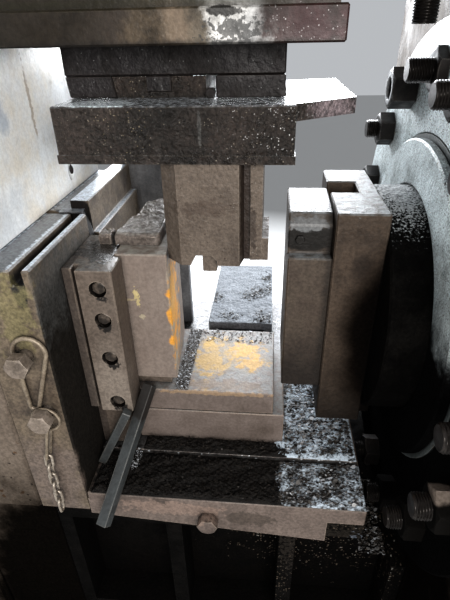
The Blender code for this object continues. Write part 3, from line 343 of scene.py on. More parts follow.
    def ramp(self, value: Socket, stops: tuple[tuple[float, Triple], ...], way: str = "LINEAR") -> Socket:
        """Colour that follows a value.

        Args:
            value: socket to read, from 0 to 1.
            stops: (value, colour) in rising order.
            way: how one colour runs into the next.

        Returns:
            The colour's socket.
        """
        node = self.node("ValToRGB", value)
        node.color_ramp.interpolation = way
        while len(node.color_ramp.elements) < len(stops):
            node.color_ramp.elements.new(1.0)
        for element, (place, colour) in zip(node.color_ramp.elements, stops):
            element.position = place
            element.color = (*colour, 1.0)
        return node.outputs["Color"]

    def tone(self) -> Socket:
        """Tone that each point of the mesh carries."""
        return self.node("Attribute", attribute_name="tone").outputs["Fac"]

    def surface(self, **settings: Socket | Triple | float) -> None:
        """Set the shader's inputs by their short names."""
        for name, value in settings.items():
            self.put(self.shader.inputs[SHADER_INPUTS[name]], value)

    def bump(self, height: Socket, distance: float) -> None:
        """Feed a height, in units of distance, to the shader's normal."""
        node = self.node("Bump")
        for name, setting in (("Strength", 1.0), ("Distance", distance), ("Height", height)):
            self.put(node.inputs[name], setting)
        self.put(self.shader.inputs["Normal"], node.outputs["Normal"])


class Paintshop:
    """Makes each finish's material once and keeps it."""

    def __init__(self) -> None:
        """Start with no material made."""
        self.made: dict[str, bpy.types.Material] = {}

    def material(self, name: str) -> bpy.types.Material:
        """The material of a named finish, made on the first call."""
        if name not in self.made:
            self.made[name] = self.weathered_with_painted_light(name, FINISHES[name])
        return self.made[name]

    def weathered_with_painted_light(self, name: str, finish: Finish) -> bpy.types.Material:
        """Mottle, streaks, areas, grime, grain, glossy tops, flecks, worn edges and crevice shade, one over the
        other; on some finishes pale tops, bright flecks and some areas are painted highlights, and some areas
        painted shade.

        Args:
            name: the material's name.
            finish: what it looks like.

        Returns:
            The finished material.
        """
        graph = Graph(name)
        broad = graph.noise(finish.mottle_scale, 7.0, 0.62)
        grain = graph.noise(finish.grain_scale, 3.0, 0.6)
        lumps = graph.noise(finish.lump_scale, 5.0, 0.6)
        middle = 0.62 - 0.24 * finish.mottle_share
        colour = graph.mix(graph.levels(broad, middle - 0.1, middle + 0.12), finish.base, finish.mottle)
        if finish.streaks > 0.0:
            run = graph.noise(0.0, 4.0, 0.6, finish.streak_run)
            share = graph.levels(run, 0.45, 0.72, 0.0, finish.streaks)
            colour = graph.mix(share, colour, finish.grime)
        if finish.bands:
            colour = graph.mix(0.9, colour, graph.bands(finish.bands))
        dirt = graph.noise(finish.grime_scale, 6.0, 0.65)
        edge = 0.66 - 0.3 * finish.grime_share
        colour = graph.mix(graph.levels(dirt, edge - 0.08, edge + 0.16, 0.0, 0.85), colour, finish.grime)
        rough = graph.levels(broad, 0.3, 0.7, finish.rough[1], finish.rough[0])
        # Upward faces take the top colour, which is a painted highlight where it is pale blue-grey.
        if finish.top is not None:
            level = graph.node("SeparateXYZ", graph.node("NewGeometry").outputs["Normal"])
            flat = graph.levels(level.outputs["Z"], 0.6, 0.9)
            broken = graph.levels(lumps, 0.62, 0.42, finish.top_even, 1.0)
            share = graph.maths("MULTIPLY", flat, graph.maths("MULTIPLY", broken, finish.top_share))
            colour = graph.mix(share, colour, finish.top)
            rough = self.between(graph, flat, rough, finish.top_rough)
        # Flecks: chipped spots, and on some finishes painted glints.
        for specks in finish.specks:
            colour = graph.mix(graph.chips_and_glints(specks), colour, specks.colour)
        if finish.wear is not None:
            colour = graph.mix(self.edges(graph, broad), colour, finish.wear)
        gloss = finish.gloss
        # Areas: stains and paint, and on some finishes painted shade and painted highlights.
        for area in finish.areas:
            mask = graph.area(area)
            colour = graph.mix(mask, colour, area.colour)
            if area.rough is not None:
                rough = self.between(graph, mask, rough, area.rough)
                gloss = self.between(graph, mask, gloss, 0.9 - area.rough)
        # Inside corners and narrow gaps darkened towards soot: painted crevice shade, which also stands for
        # dirt packed there.
        if finish.crevice > 0.0:
            crevice_shade = graph.maths("MULTIPLY", graph.crevice(finish.crevice_reach), finish.crevice)
            colour = graph.mix(crevice_shade, colour, SOOT_AND_SHADE)
        swing = graph.levels(grain, 0.3, 0.7, 1.0 - finish.grain, 1.0 + finish.grain)
        shade = graph.node("CombineColor", swing, swing, swing).outputs[0]
        colour = graph.mix(1.0, colour, shade, "MULTIPLY")
        graph.surface(colour=colour, gloss=gloss, rough=rough, metallic=finish.metallic)
        fine = graph.maths("MULTIPLY", grain, 0.35)
        height = graph.maths("MULTIPLY_ADD", lumps, finish.lumps * 2.0, fine)
        graph.bump(graph.maths("ADD", height, broad), finish.relief)
        return graph.material

    @staticmethod
    def between(graph: Graph, share: Socket, first: Socket | float, second: float) -> Socket:
        """A value that goes from the first to the second as share goes from 0 to 1."""
        kept = graph.maths("MULTIPLY", graph.maths("SUBTRACT", 1.0, share), first)
        return graph.maths("MULTIPLY_ADD", share, second, kept)

    @staticmethod
    def edges(graph: Graph, broad: Socket) -> Socket:
        """Mask of worn edges: where the rounded normal leaves the true one, broken up by noise."""
        rounded = graph.node("Bevel", EDGE_RADIUS, samples=4).outputs[0]
        true = graph.node("NewGeometry").outputs["Normal"]
        together = graph.vector("DOT_PRODUCT", rounded, true, result="Value")
        worn = graph.levels(together, 0.985, 0.86)
        return graph.maths("MULTIPLY", worn, graph.levels(broad, 0.4, 0.6, 0.25, 0.95))


# ------------------------------------------------------------ numpy surfaces


@dataclass(frozen=True)
class Shell:
    """Closed surface: points (n, 3), faces (m, 4) with -1 last in a triangle, and a tone per point."""

    points: np.ndarray
    faces: np.ndarray
    tone: np.ndarray | None = None


def lattice(points: np.ndarray, wrap_rows: bool = False) -> Shell:
    """Close a grid of points into a shell.

    Row i and column j hold S(u_i, v_j). Columns wrap round. Rows wrap too on a ring, and otherwise
    the first and the last row are closed by a fan to their mean point.

    Args:
        points: grid of points, (rows, columns, 3).
        wrap_rows: whether the last row joins the first.

    Returns:
        The closed shell.
    """
    rows, columns = points.shape[:2]
    row, column = np.meshgrid(np.arange(rows if wrap_rows else rows - 1), np.arange(columns), indexing="ij")
    below, beside = (row + 1) % rows, (column + 1) % columns
    corners = (row * columns + column, row * columns + beside,
               below * columns + beside, below * columns + column)
    quads = np.stack(corners, -1).reshape(-1, 4)
    flat = points.reshape(-1, 3)
    if wrap_rows:
        return Shell(flat, quads)
    here = np.arange(columns)
    after = (here + 1) % columns
    none = np.full(columns, -1)
    first = np.stack([np.full(columns, rows * columns), after, here, none], -1)
    start = (rows - 1) * columns
    last = np.stack([np.full(columns, rows * columns + 1), start + here, start + after, none], -1)
    ends = np.stack([points[0].mean(0), points[-1].mean(0)])
    return Shell(np.vstack([flat, ends]), np.vstack([quads, first, last]))


def placed(local: np.ndarray, seat: Triple, axis: Axis) -> np.ndarray:
    """Points (x, y, z) of a local frame with z along an axis, moved to a seat: seat + p @ frame."""
    return np.asarray(seat) + local @ axis.frame()


def around(steps: int) -> np.ndarray:
    """Angles of a full turn in even steps."""
    return np.linspace(0.0, 2 * pi, steps, endpoint=False)


def ways(angle: np.ndarray) -> np.ndarray:
    """Unit vectors (cos angle, sin angle), (..., 2)."""
    return np.stack([np.cos(angle), np.sin(angle)], -1)


def polar(radius: np.ndarray, angle: np.ndarray, level: np.ndarray) -> np.ndarray:
    """Grid (radius cos angle, radius sin angle, level), (rows, columns, 3)."""
    flat = radius[..., None] * ways(angle)
    return np.concatenate([flat, np.broadcast_to(level, flat.shape[:-1])[..., None]], -1)


def ripple(points: np.ndarray, scale: float, seed: int, waves: int = 14) -> np.ndarray:
    """Smooth irregular field: a mean of sines, sin(k . p + phase), in random directions.

    Args:
        points: where it is read, (..., 3).
        scale: waves per metre.
        seed: seed of the directions and phases.
        waves: how many sines are added.

    Returns:
        Values of about -1 to 1, (...).
    """
    rng = np.random.default_rng(seed)
    runs = rng.normal(size=(waves, 3)) * scale * 2.0 * pi * rng.uniform(0.5, 1.8, (waves, 1))
    return np.sin(points @ runs.T + rng.uniform(0, 2 * pi, waves)).mean(-1) * (waves / 6.0)


def eased(profile: list[Pair], cut: float) -> np.ndarray:
    """Chamfer each corner of a closed profile: p moves a short way towards both its neighbours.

    Args:
        profile: (radius, height) corners.
        cut: length of the chamfer.

    Returns:
        Points of the chamfered profile, (2n, 2). A corner on the axis stays as it is.
    """
    corner = np.array(profile)
    ways = np.stack([np.roll(corner, 1, 0) - corner, np.roll(corner, -1, 0) - corner], 1)
    length = np.linalg.norm(ways, axis=2, keepdims=True)
    step = np.where(corner[:, None, :1] > 0.0, np.minimum(cut, length * 0.4), 0.0)
    return (corner[:, None] + ways / length * step).reshape(-1, 2)


def section(outer: float, inner: float, low: float, high: float, cut: float) -> np.ndarray:
    """Profile of a ring, or of a bar where inner is 0, between two heights and with chamfered edges."""
    return eased([(inner, low), (outer, low), (outer, high), (inner, high)], cut)


def revolved(profile: np.ndarray, centre: Triple, axis: Axis, steps: int = 160, ring: bool = False) -> Shell:
    """Sweep a profile round an axis: S(u, v) = centre + r(u) (cos v, sin v) + h(u) axis.

    Args:
        profile: (radius, height) points in order.
        centre: point on the axis that heights count from.
        axis: direction that heights run along.
        steps: columns round the axis.
        ring: whether the profile is closed and stays off the axis.

    Returns:
        The closed shell.
    """
    return lattice(placed(polar(profile[:, :1], around(steps), profile[:, 1:]), centre, axis), ring)


def tube(path: np.ndarray, radius: np.ndarray | float, flat: Triple, sides: int = 16,
         closed: bool = True) -> Shell:
    """Round wire along a flat path: S(u, v) = p(u) + r(u) (cos v n(u) + sin v f).

    n is the path's tangent crossed with the flat normal f.

    Args:
        path: points of the centre line, (n, 3).
        radius: wire radius, one or one per point.
        flat: normal of the plane that the path lies in.
        sides: columns round the wire.
        closed: whether the path is a loop.

    Returns:
        The closed shell.
    """
    if closed:
        along = np.roll(path, -1, 0) - np.roll(path, 1, 0)
    else:
        along = np.gradient(path, axis=0)
    along /= np.linalg.norm(along, axis=1, keepdims=True)
    side = np.cross(along, np.asarray(flat))
    side /= np.linalg.norm(side, axis=1, keepdims=True)
    other = np.cross(side, along)
    angle = around(sides)[None, :, None]
    spread = np.broadcast_to(np.asarray(radius, float).reshape(-1, 1, 1), (len(path), 1, 1))
    ring = side[:, None] * np.cos(angle) + other[:, None] * np.sin(angle)
    return lattice(path[:, None] + ring * spread, closed)


def hexagon(flats: float, height: float, bore: float = 0.0, bore_depth: float = 0.0,
            turn: float = 0.0) -> np.ndarray:
    """Grid of a hexagon head with its corners chamfered at 30 degrees.

    The side is r(v) = flats / 2 / cos(v'), with v' the angle from the nearest flat. Above the crown
    circle the end face falls as z = height - (r - crown) tan 30, which gives the curved chamfers.

    Args:
        flats: width across the flats.
        height: height of the head.
        bore: radius of a hole in its end, or 0.
        bore_depth: depth of that hole.
        turn: angle of the flats, in degrees.

    Returns:
        Points of a local frame, (rows, columns, 3), from the end face down to the seat.
    """
    angle = around(72)
    side = flats / 2 / np.cos((angle - radians(turn) + pi / 6) % (pi / 3) - pi / 6)
    crown = flats * 0.47
    rows = [(bore, height - bore_depth), (bore, height - 0.002), (bore + 0.002, height)] if bore else []
    rows += [(crown * 0.96, height), (crown, height)]
    spread = np.linspace(crown, side.max(), 7)[1:, None]
    radius = [np.full((1, 72), r) for r, _ in rows] + [np.minimum(side, spread), side[None], side[None] * 0.985]
    level = [np.full((1, 72), z) for _, z in rows]
    level += [height - (radius[len(rows)] - crown) * 0.577, np.full((1, 72), 0.0008), np.zeros((1, 72))]
    return polar(np.vstack(radius), angle, np.vstack(level))


def thread(radius: float, length: float, pitch: float, depth: float) -> np.ndarray:
    """Grid of a threaded bar with a coned end.

    r(z, v) = radius - depth |2 frac(z / pitch - v / 2 pi) - 1|, and no more than the end's cone.

    Args:
        radius: radius over the crests.
        length: length from the seat to the end.
        pitch: distance between crests.
        depth: depth of the thread.

    Returns:
        Points of a local frame, (rows, columns, 3).
    """
    level = np.linspace(0.0, length, int(length / pitch * 7) + 2)[:, None]
    angle = around(48)
    wave = np.abs(2.0 * ((level / pitch - angle / (2 * pi)) % 1.0) - 1.0)
    radius = np.minimum(radius - depth * wave, radius - depth * 1.4 + (length - level))
    return polar(radius, angle, level)


def build(name: str, shells: list[Shell], material: bpy.types.Material, body: Body,
          stands_for: tuple[str, ...] = (), sharp: float = 32.0) -> None:
    """Put shells into one mesh and make it a piece at the origin that rides on a body.

    Args:
        name: the piece's name.
        shells: its closed surfaces.
        material: its material.
        body: CAD body that it rides on.
        stands_for: CAD nodes that it replaces.
        sharp: angle over which an edge is shaded sharp, in degrees.
    """
    starts = np.cumsum([0] + [len(shell.points) for shell in shells[:-1]])
    points = np.vstack([shell.points for shell in shells])
    faces = np.vstack([np.where(s.faces < 0, -1, s.faces + start) for s, start in zip(shells, starts)])
    corners = faces[faces >= 0]
    sizes = (faces >= 0).sum(1)
    mesh = bpy.data.meshes.new(name)
    mesh.vertices.add(len(points))
    mesh.vertices.foreach_set("co", points.astype(np.float32).ravel())
    mesh.loops.add(len(corners))
    mesh.loops.foreach_set("vertex_index", corners.astype(np.int32))
    mesh.polygons.add(len(faces))
    mesh.polygons.foreach_set("loop_start", np.concatenate([[0], np.cumsum(sizes)[:-1]]).astype(np.int32))
    mesh.update(calc_edges=True)
    shape = bmesh.new()
    shape.from_mesh(mesh)
    bmesh.ops.recalc_face_normals(shape, faces=shape.faces)
    shape.to_mesh(mesh)
    shape.free()
    mesh.polygons.foreach_set("use_smooth", np.ones(len(faces), bool))
    mesh.set_sharp_from_angle(angle=radians(sharp))
    if shells[0].tone is not None:
        tone = mesh.attributes.new("tone", "FLOAT", "POINT")
        tone.data.foreach_set("value", np.concatenate([s.tone for s in shells]).astype(np.float32))
    mesh.materials.append(material)
    piece = bpy.data.objects.new(name, mesh)
    bpy.context.scene.collection.objects.link(piece)
    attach(piece, body.value)
    if stands_for:
        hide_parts(*stands_for)
    log.info("%s: %d faces on %s", name, len(faces), body.value)


# --------------------------------------------------------- table of finishes

# Near-black soot, which is also the colour of the painted shade in crevices.
SOOT_AND_SHADE: Triple = (0.012, 0.010, 0.009)
PALE: Triple = (0.62, 0.66, 0.70)

# Places of screws, as X and Z, and the shank that the pear link and the chain hang on
RAIL_BOLTS = ((-0.356, 1.039), (-0.345, 0.900))
RAIL_SHANK = 0.0138
HOLDER_BOLT_X = -0.239
HOLDER_BOLT_LEVELS = (1.126, 1.055, 0.959, 0.837)

# Painted shade inside each screw's counterbore in the die holder, and a painted shadow below and right of it
BORE_SHADE_AND_SHADOW = tuple(
    Area((HOLDER_BOLT_X + aside, -0.186, level - drop), (reach, 0.026, reach), (0.010, 0.008, 0.007), 0.97,
         ragged, 70.0)
    for level in HOLDER_BOLT_LEVELS
    for aside, drop, reach, ragged in ((0.0, 0.0, 0.022, 0.3), (0.004, 0.014, 0.017, 1.3)))

FINISHES: dict[str, Finish] = {
    # Near-black cast iron: the black stands for the deep shade under the bed as well as its own dark colour.
    "bed_cast": Finish(
        (0.002, 0.0017, 0.0015), (0.0035, 0.0028, 0.0024), (0.0015, 0.0015, 0.0014), grain=0.35,
        rough=(0.6, 0.9), metallic=0.0, gloss=0.08, relief=0.002, crevice=0.0,
        specks=(
            Specks((0.1, 0.08, 0.062), 0.3, 150.0, 0.44,
                   Area((0.24, -0.26, 0.42), (0.26, 0.4, 0.24), PALE, 0.9, 1.2, 30.0)),
            Specks((0.22, 0.21, 0.19), 0.06, 120.0,
                   where=Area((0.24, -0.26, 0.42), (0.24, 0.4, 0.2), PALE, 0.9, 1.2, 30.0))),
        areas=(
            Area((0.26, -0.26, 0.44), (0.14, 0.05, 0.11), (0.02, 0.017, 0.014), 0.9, 2.2, 110.0),
            Area((0.32, -0.26, 0.42), (0.018, 0.05, 0.08), (0.14, 0.16, 0.19), 0.8, 1.8, 90.0))),
    "base_steel": Finish(
        (0.165, 0.13, 0.112), (0.135, 0.105, 0.09), (0.07, 0.052, 0.044), grime_share=0.25, streaks=0.15,
        grain=0.25, wear=(0.3, 0.25, 0.2), top=(0.01, 0.009, 0.008), top_share=0.97, top_rough=0.6,
        areas=(
            Area((0.06, -0.3, 0.595), (0.06, 0.05, 0.025), (0.065, 0.05, 0.04), 0.7, 1.3),
            Area((-0.12, -0.3, 0.61), (0.14, 0.05, 0.025), (0.26, 0.19, 0.155), 0.6, 1.3))),
    "bed_plate": Finish(
        (0.045, 0.042, 0.04), (0.1, 0.1, 0.1), SOOT_AND_SHADE, mottle_scale=40.0, grain=0.3, metallic=0.35, relief=0.002,
        wear=(0.2, 0.15, 0.12), top=(0.06, 0.06, 0.065), top_share=0.7, top_rough=0.3,
        specks=(
            Specks(PALE, 0.2, 120.0, 0.34),
            Specks(SOOT_AND_SHADE, 0.35, 90.0, 0.45))),
    "housing_old": Finish(
        (0.185, 0.15, 0.122), (0.15, 0.12, 0.095), (0.065, 0.048, 0.036), mottle_scale=9.0, grime_share=0.2,
        streaks=0.3, grain=0.22, rough=(0.5, 0.8), metallic=0.05, gloss=0.3,
        specks=(
            Specks((0.1, 0.06, 0.035), 0.07, 60.0, 0.4),
            Specks((0.03, 0.022, 0.018), 0.07, 110.0, 0.4)),
        areas=(
            # The two near-black areas low on the left and right housings are painted shade.
            Area((-0.44, -0.27, 0.1), (0.36, 0.32, 0.68), (0.0035, 0.003, 0.0025), 0.99, 0.25, 9.0, rough=0.95,
                 soft=0.42),
            Area((0.51, -0.3, 0.1), (0.22, 0.56, 0.85), (0.0035, 0.003, 0.0025), 0.99, 0.25, 9.0, rough=0.95,
                 soft=0.42),
            Area((-0.35, -0.3, 0.61), (0.06, 0.08, 0.04), (0.06, 0.044, 0.036), 0.6, 1.2, 40.0))),
    # Near-white guide plate: a pale colour raised further as painted glare, with painted soft shadows in the
    # blue-grey areas.
    "guide_bright": Finish(
        (0.93, 0.95, 0.96), (0.9, 0.85, 0.76), (0.42, 0.38, 0.33), mottle_scale=6.0, mottle_share=0.4,
        grime_scale=11.0, grime_share=0.02, streaks=0.1, grain=0.08, rough=(0.3, 0.5), metallic=0.0,
        relief=0.0006, crevice=0.4,
        areas=(
            Area((-0.4, 0.012, 1.44), (0.1, 0.006, 0.07), (0.33, 0.24, 0.16), 0.65, 1.9, 60.0, soft=0.5),
            Area((-0.4, -0.12, 1.43), (0.1, 0.045, 0.05), (0.48, 0.54, 0.62), 0.75, 1.0, 30.0, soft=0.7),
            Area((-0.4, -0.2, 1.26), (0.1, 0.13, 0.07), (0.6, 0.64, 0.68), 0.6, 0.9, 26.0, soft=0.8))),
    "cylinder_paint": Finish(
        (0.11, 0.125, 0.115), (0.08, 0.09, 0.085), (0.03, 0.028, 0.025), mottle_scale=8.0, streaks=0.4,
        grain=0.15, rough=(0.35, 0.6), wear=(0.3, 0.28, 0.26)),
    "barrel_paint": Finish(
        (0.2, 0.225, 0.22), (0.15, 0.165, 0.16), (0.05, 0.045, 0.038), mottle_scale=7.0, grime_share=0.45,
        streaks=0.5, rough=(0.4, 0.65), metallic=0.0, wear=(0.36, 0.35, 0.33),
        specks=(
            Specks((0.09, 0.05, 0.03), 0.12, 40.0, 0.4),)),
    "bright_rod": Finish(
        (0.42, 0.42, 0.42), (0.36, 0.355, 0.35), (0.2, 0.18, 0.15), mottle_share=0.2, grime_share=0.05,
        streaks=0.15, streak_run=(30.0, 30.0, 1.5), grain=0.05, rough=(0.2, 0.35), metallic=1.0, relief=0.0001,
        lumps=0.1),
    "slide_paint": Finish(
        (0.06, 0.045, 0.036), (0.03, 0.024, 0.019), (0.01, 0.008, 0.006), mottle_scale=13.0, grime_scale=15.0,
        grain=0.15, rough=(0.3, 0.55), gloss=0.3, wear=(0.07, 0.06, 0.045),
        # Bands along X: dark at the left as painted shade, near-white in the middle as a painted reflection,
        # and dark red at the right as paint.
        bands=(
            (-0.4, (0.014, 0.012, 0.009)), (-0.22, (0.022, 0.017, 0.012)), (-0.15, (0.034, 0.026, 0.02)),
            (-0.115, (0.09, 0.068, 0.046)), (-0.06, (0.165, 0.125, 0.09)), (-0.02, (0.12, 0.1, 0.075)),
            (0.0, (0.72, 0.71, 0.69)), (0.055, (0.62, 0.62, 0.62)), (0.085, (0.042, 0.022, 0.022)),
            (0.14, (0.036, 0.014, 0.016)), (0.22, (0.055, 0.026, 0.029))),
        specks=(
            Specks((0.36, 0.34, 0.34), 0.12, 330.0,
                   where=Area((0.14, -0.16, 1.56), (0.1, 0.3, 0.06), PALE, 0.8, 1.6, 60.0)),),
        areas=(
            Area((-0.1, -0.16, 1.592), (0.6, 0.3, 0.01), (0.02, 0.018, 0.01), 0.8, 0.7, 50.0, soft=0.7),
            Area((-0.1, -0.16, 1.535), (0.6, 0.3, 0.013), (0.01, 0.008, 0.007), 0.85, 0.6, 50.0, soft=0.8),
            Area((0.012, -0.16, 1.581), (0.03, 0.3, 0.009), (0.008, 0.007, 0.006), 0.95, 0.9, 60.0),
            Area((0.03, -0.16, 1.553), (0.04, 0.3, 0.018), (0.035, 0.035, 0.035), 0.85, 2.6, 150.0))),
    "adapter_oily": Finish(
        (0.013, 0.0105, 0.01), (0.023, 0.02, 0.021), (0.006, 0.005, 0.005), grain=0.3, rough=(0.35, 0.65),
        metallic=0.0, gloss=0.25, relief=0.0022, lumps=0.9, crevice=0.95, wear=(0.045, 0.037, 0.033),
        specks=(
            Specks((0.22, 0.22, 0.22), 0.02, 330.0, 0.34),)),
    "holder_oily": Finish(
        (0.04, 0.03, 0.025), (0.022, 0.017, 0.014), (0.007, 0.006, 0.005), grain=0.5, rough=(0.2, 0.5),
        relief=0.0065, lumps=1.0, lump_scale=75.0, crevice=0.9, wear=(0.07, 0.057, 0.045),
        # Pale blue-grey tops: painted highlight of glare.
        top=(0.5, 0.54, 0.58), top_share=0.85, top_rough=0.15,
        # The pale and yellowish flecks are painted glints.
        specks=(
            Specks((0.26, 0.22, 0.15), 0.14, 300.0, 0.34,
                   Area((-0.17, -0.145, 1.42), (0.06, 0.3, 0.07), PALE, 0.9, 1.4)),
            Specks((0.6, 0.6, 0.6), 0.13, 340.0, 0.4,
                   Area((0.15, -0.145, 1.41), (0.13, 0.3, 0.07), PALE, 0.9, 1.8, 60.0)),
            Specks((0.7, 0.7, 0.7), 0.06, 170.0, 0.3,
                   Area((0.17, -0.145, 1.4), (0.1, 0.3, 0.05), PALE, 1.0, 1.4, 60.0)),
            Specks((0.3, 0.27, 0.22), 0.05, 330.0, 0.34)),
        areas=(
            Area((-0.034, -0.145, 1.41), (0.0035, 0.3, 0.035), (0.12, 0.12, 0.115), 0.5, 1.2, 90.0),
            Area((0.2, -0.085, 1.434), (0.075, 0.075, 0.026), (0.23, 0.185, 0.195), 0.9, 0.7, 90.0, soft=0.7),
            # Near-white strip on the top edge at the left: painted highlight.
            Area((-0.21, -0.115, 1.4495), (0.065, 0.05, 0.003), (0.7, 0.78, 0.82), 0.9, 0.7, 60.0))),
    "punch_steel": Finish(
        (0.13, 0.104, 0.084), (0.108, 0.085, 0.068), (0.055, 0.042, 0.034), mottle_scale=20.0, grime_share=0.15,
        gloss=0.4, relief=0.0022, lumps=0.8, lump_scale=80.0, wear=(0.24, 0.2, 0.165),
        specks=(
            Specks((0.42, 0.4, 0.37), 0.1, 260.0, 0.34,
                   Area((0.05, -0.13, 1.25), (0.025, 0.2, 0.12), PALE, 0.9)),
            Specks((0.05, 0.035, 0.027), 0.05, 220.0, 0.38)),
        areas=(
            Area((0.0435, -0.11, 1.27), (0.01, 0.2, 0.2), (0.03, 0.019, 0.014), 0.95, 0.5, 60.0),
            Area((0.055, -0.11, 1.22), (0.012, 0.2, 0.05), (0.035, 0.025, 0.02), 0.7, 1.5, 70.0),
            Area((-0.03, -0.145, 1.272), (0.055, 0.1, 0.018), (0.075, 0.055, 0.043), 0.7, 1.2, 90.0))),
    "rail_olive": Finish(
        (0.155, 0.122, 0.088), (0.112, 0.086, 0.062), (0.05, 0.037, 0.029), mottle_scale=24.0, grime_scale=14.0,
        # Pale blue tops: painted highlight of glare.
        grain=0.3, metallic=0.05, relief=0.0014, wear=(0.36, 0.3, 0.22), top=(0.74, 0.82, 0.92), top_share=1.0,
        top_rough=0.25, top_even=0.8,
        areas=(
            # The dark area on the rail's right-hand side face, lighter towards its top, is painted shade.
            Area((-0.31, -0.16, 0.88), (0.006, 0.4, 0.34), (0.018, 0.016, 0.014), 0.98, 0.15, 12.0, rough=0.8,
                 soft=0.25),
            Area((-0.31, -0.2, 1.15), (0.006, 0.25, 0.13), (0.08, 0.08, 0.078), 0.75, 0.8, soft=0.8),
            Area((-0.376, -0.16, 1.216), (0.025, 1.0, 0.008), (0.115, 0.12, 0.125), 0.92, 0.5, 70.0),
            Area((-0.335, -0.16, 1.18), (0.0145, 1.0, 0.046), (0.012, 0.012, 0.013), 0.98, 0.08),
            Area((-0.37, -0.3, 0.7), (0.09, 0.02, 0.17), (0.15, 0.118, 0.1), 0.85, 0.8, 18.0, soft=0.6),
            Area((-0.36, -0.3, 1.12), (0.05, 0.02, 0.09), (0.2, 0.175, 0.085), 0.6, 1.8, 40.0, soft=0.6),
            Area((-0.34, 0.0, 1.19), (0.05, 0.004, 0.06), (0.01, 0.009, 0.009), 0.97, 0.2, 40.0, rough=0.8))),
    "clip_black": Finish(
        (0.01, 0.009, 0.009), (0.018, 0.016, 0.015), SOOT_AND_SHADE, grain=0.35, rough=(0.35, 0.6), metallic=0.2,
        # Pale blue tops of the black clip: painted highlight.
        wear=(0.6, 0.63, 0.68), top=(0.55, 0.6, 0.68), top_share=0.5, top_rough=0.3),
    "die_holder": Finish(
        (0.14, 0.112, 0.092), (0.118, 0.093, 0.076), (0.055, 0.042, 0.034), mottle_scale=20.0, grime_share=0.2,
        grain=0.22, wear=(0.32, 0.27, 0.215), top=(0.16, 0.155, 0.145),
        areas=(
            Area((-0.24, -0.2, 0.86), (0.07, 0.06, 0.17), (0.225, 0.19, 0.16), 0.85, 0.6, 20.0, soft=0.8),
            *BORE_SHADE_AND_SHADOW,
            Area((-0.302, -0.17, 0.9), (0.012, 0.088, 0.6), (0.05, 0.04, 0.035), 0.7, 0.3, 20.0),
            Area((-0.25, -0.1, 1.167), (0.06, 0.07, 0.004), (0.03, 0.028, 0.026), 0.8, 1.2, 50.0))),
    "bolt_steel": Finish(
        (0.27, 0.225, 0.19), (0.2, 0.165, 0.135), (0.06, 0.047, 0.037), mottle_scale=60.0, streaks=0.1,
        rough=(0.4, 0.65), metallic=0.15, relief=0.0012, wear=(0.42, 0.36, 0.3)),
    # Dark heads: the dark colour stands for the shade of the bores they sit in.
    "bolt_sunk": Finish(
        (0.035, 0.028, 0.023), (0.1, 0.08, 0.065), (0.012, 0.01, 0.008), mottle_scale=60.0, grime_share=0.4,
        streaks=0.1, grain=0.35, rough=(0.3, 0.5), metallic=0.2, crevice=0.3, wear=(0.22, 0.18, 0.145)),
    "fixed_die": Finish(
        (0.225, 0.185, 0.16), (0.2, 0.162, 0.14), (0.15, 0.118, 0.1), mottle_scale=10.0, grime_share=0.08,
        streaks=0.3, streak_run=(90.0, 90.0, 5.0), grain=0.13, gloss=0.4, relief=0.0006, lumps=0.3,
        wear=(0.36, 0.3, 0.25), top=(0.38, 0.37, 0.335), top_share=0.75, top_rough=0.45,
        areas=(
            Area((-0.112, -0.03, 1.02), (0.012, 0.16, 0.26), (0.4, 0.35, 0.28), 0.85, 0.5, 20.0, soft=0.5),
            Area((-0.11, -0.045, 1.02), (0.016, 0.11, 0.18), (0.7, 0.33, 0.05), 0.95, 1.1, 34.0, soft=0.35),
            Area((-0.11, -0.085, 1.07), (0.012, 0.05, 0.09), (0.66, 0.36, 0.08), 0.9, 1.4, 40.0, soft=0.35),
            Area((-0.187, -0.13, 1.078), (0.006, 0.02, 0.014), (0.52, 0.43, 0.22), 0.9, 1.8, 170.0),
            Area((-0.184, -0.13, 1.06), (0.004, 0.02, 0.012), (0.46, 0.38, 0.2), 0.9, 1.6, 170.0),
            Area((-0.2, -0.13, 1.064), (0.012, 0.02, 0.003), (0.38, 0.31, 0.2), 0.8, 1.6, 170.0),
            Area((-0.18, -0.13, 1.022), (0.008, 0.02, 0.006), (0.38, 0.33, 0.24), 0.8, 1.8, 170.0))),
    "die_cap": Finish(
        (0.145, 0.122, 0.108), (0.12, 0.1, 0.088), (0.07, 0.056, 0.048), mottle_scale=26.0, grime_share=0.3,
        streaks=0.1, grain=0.35, gloss=0.4, relief=0.0022, lumps=0.8, wear=(0.34, 0.29, 0.25),
        top=(0.3, 0.285, 0.265), top_rough=0.5),
    "lower_die": Finish(
        (0.185, 0.15, 0.133), (0.155, 0.125, 0.11), (0.09, 0.07, 0.058), mottle_scale=12.0, grime_share=0.12,
        streaks=0.1, grain=0.14, gloss=0.4, wear=(0.4, 0.31, 0.235), top=(0.2, 0.2, 0.196), top_share=0.95,
        top_rough=0.5,
        specks=(
            Specks((0.09, 0.075, 0.06), 0.12, 240.0, 0.38,
                   Area((0.0, 0.0, 0.8172), (0.14, 0.14, 0.01), PALE, 0.9)),),
        areas=(
            Area((0.0, 0.02, 0.8172), (0.12, 0.1, 0.003), (0.27, 0.215, 0.135), 0.7, 1.2, 24.0, soft=0.9),
            Area((0.035, 0.035, 0.8172), (0.055, 0.055, 0.003), (0.46, 0.27, 0.045), 0.9, 1.6, 42.0, soft=0.6),
            Area((-0.05, 0.0, 0.8172), (0.055, 0.1, 0.003), (0.4, 0.25, 0.06), 0.8, 1.8, 36.0, soft=0.6),
            Area((0.055, -0.02, 0.8172), (0.045, 0.04, 0.003), (0.45, 0.26, 0.05), 0.85, 1.7, 42.0, soft=0.6),
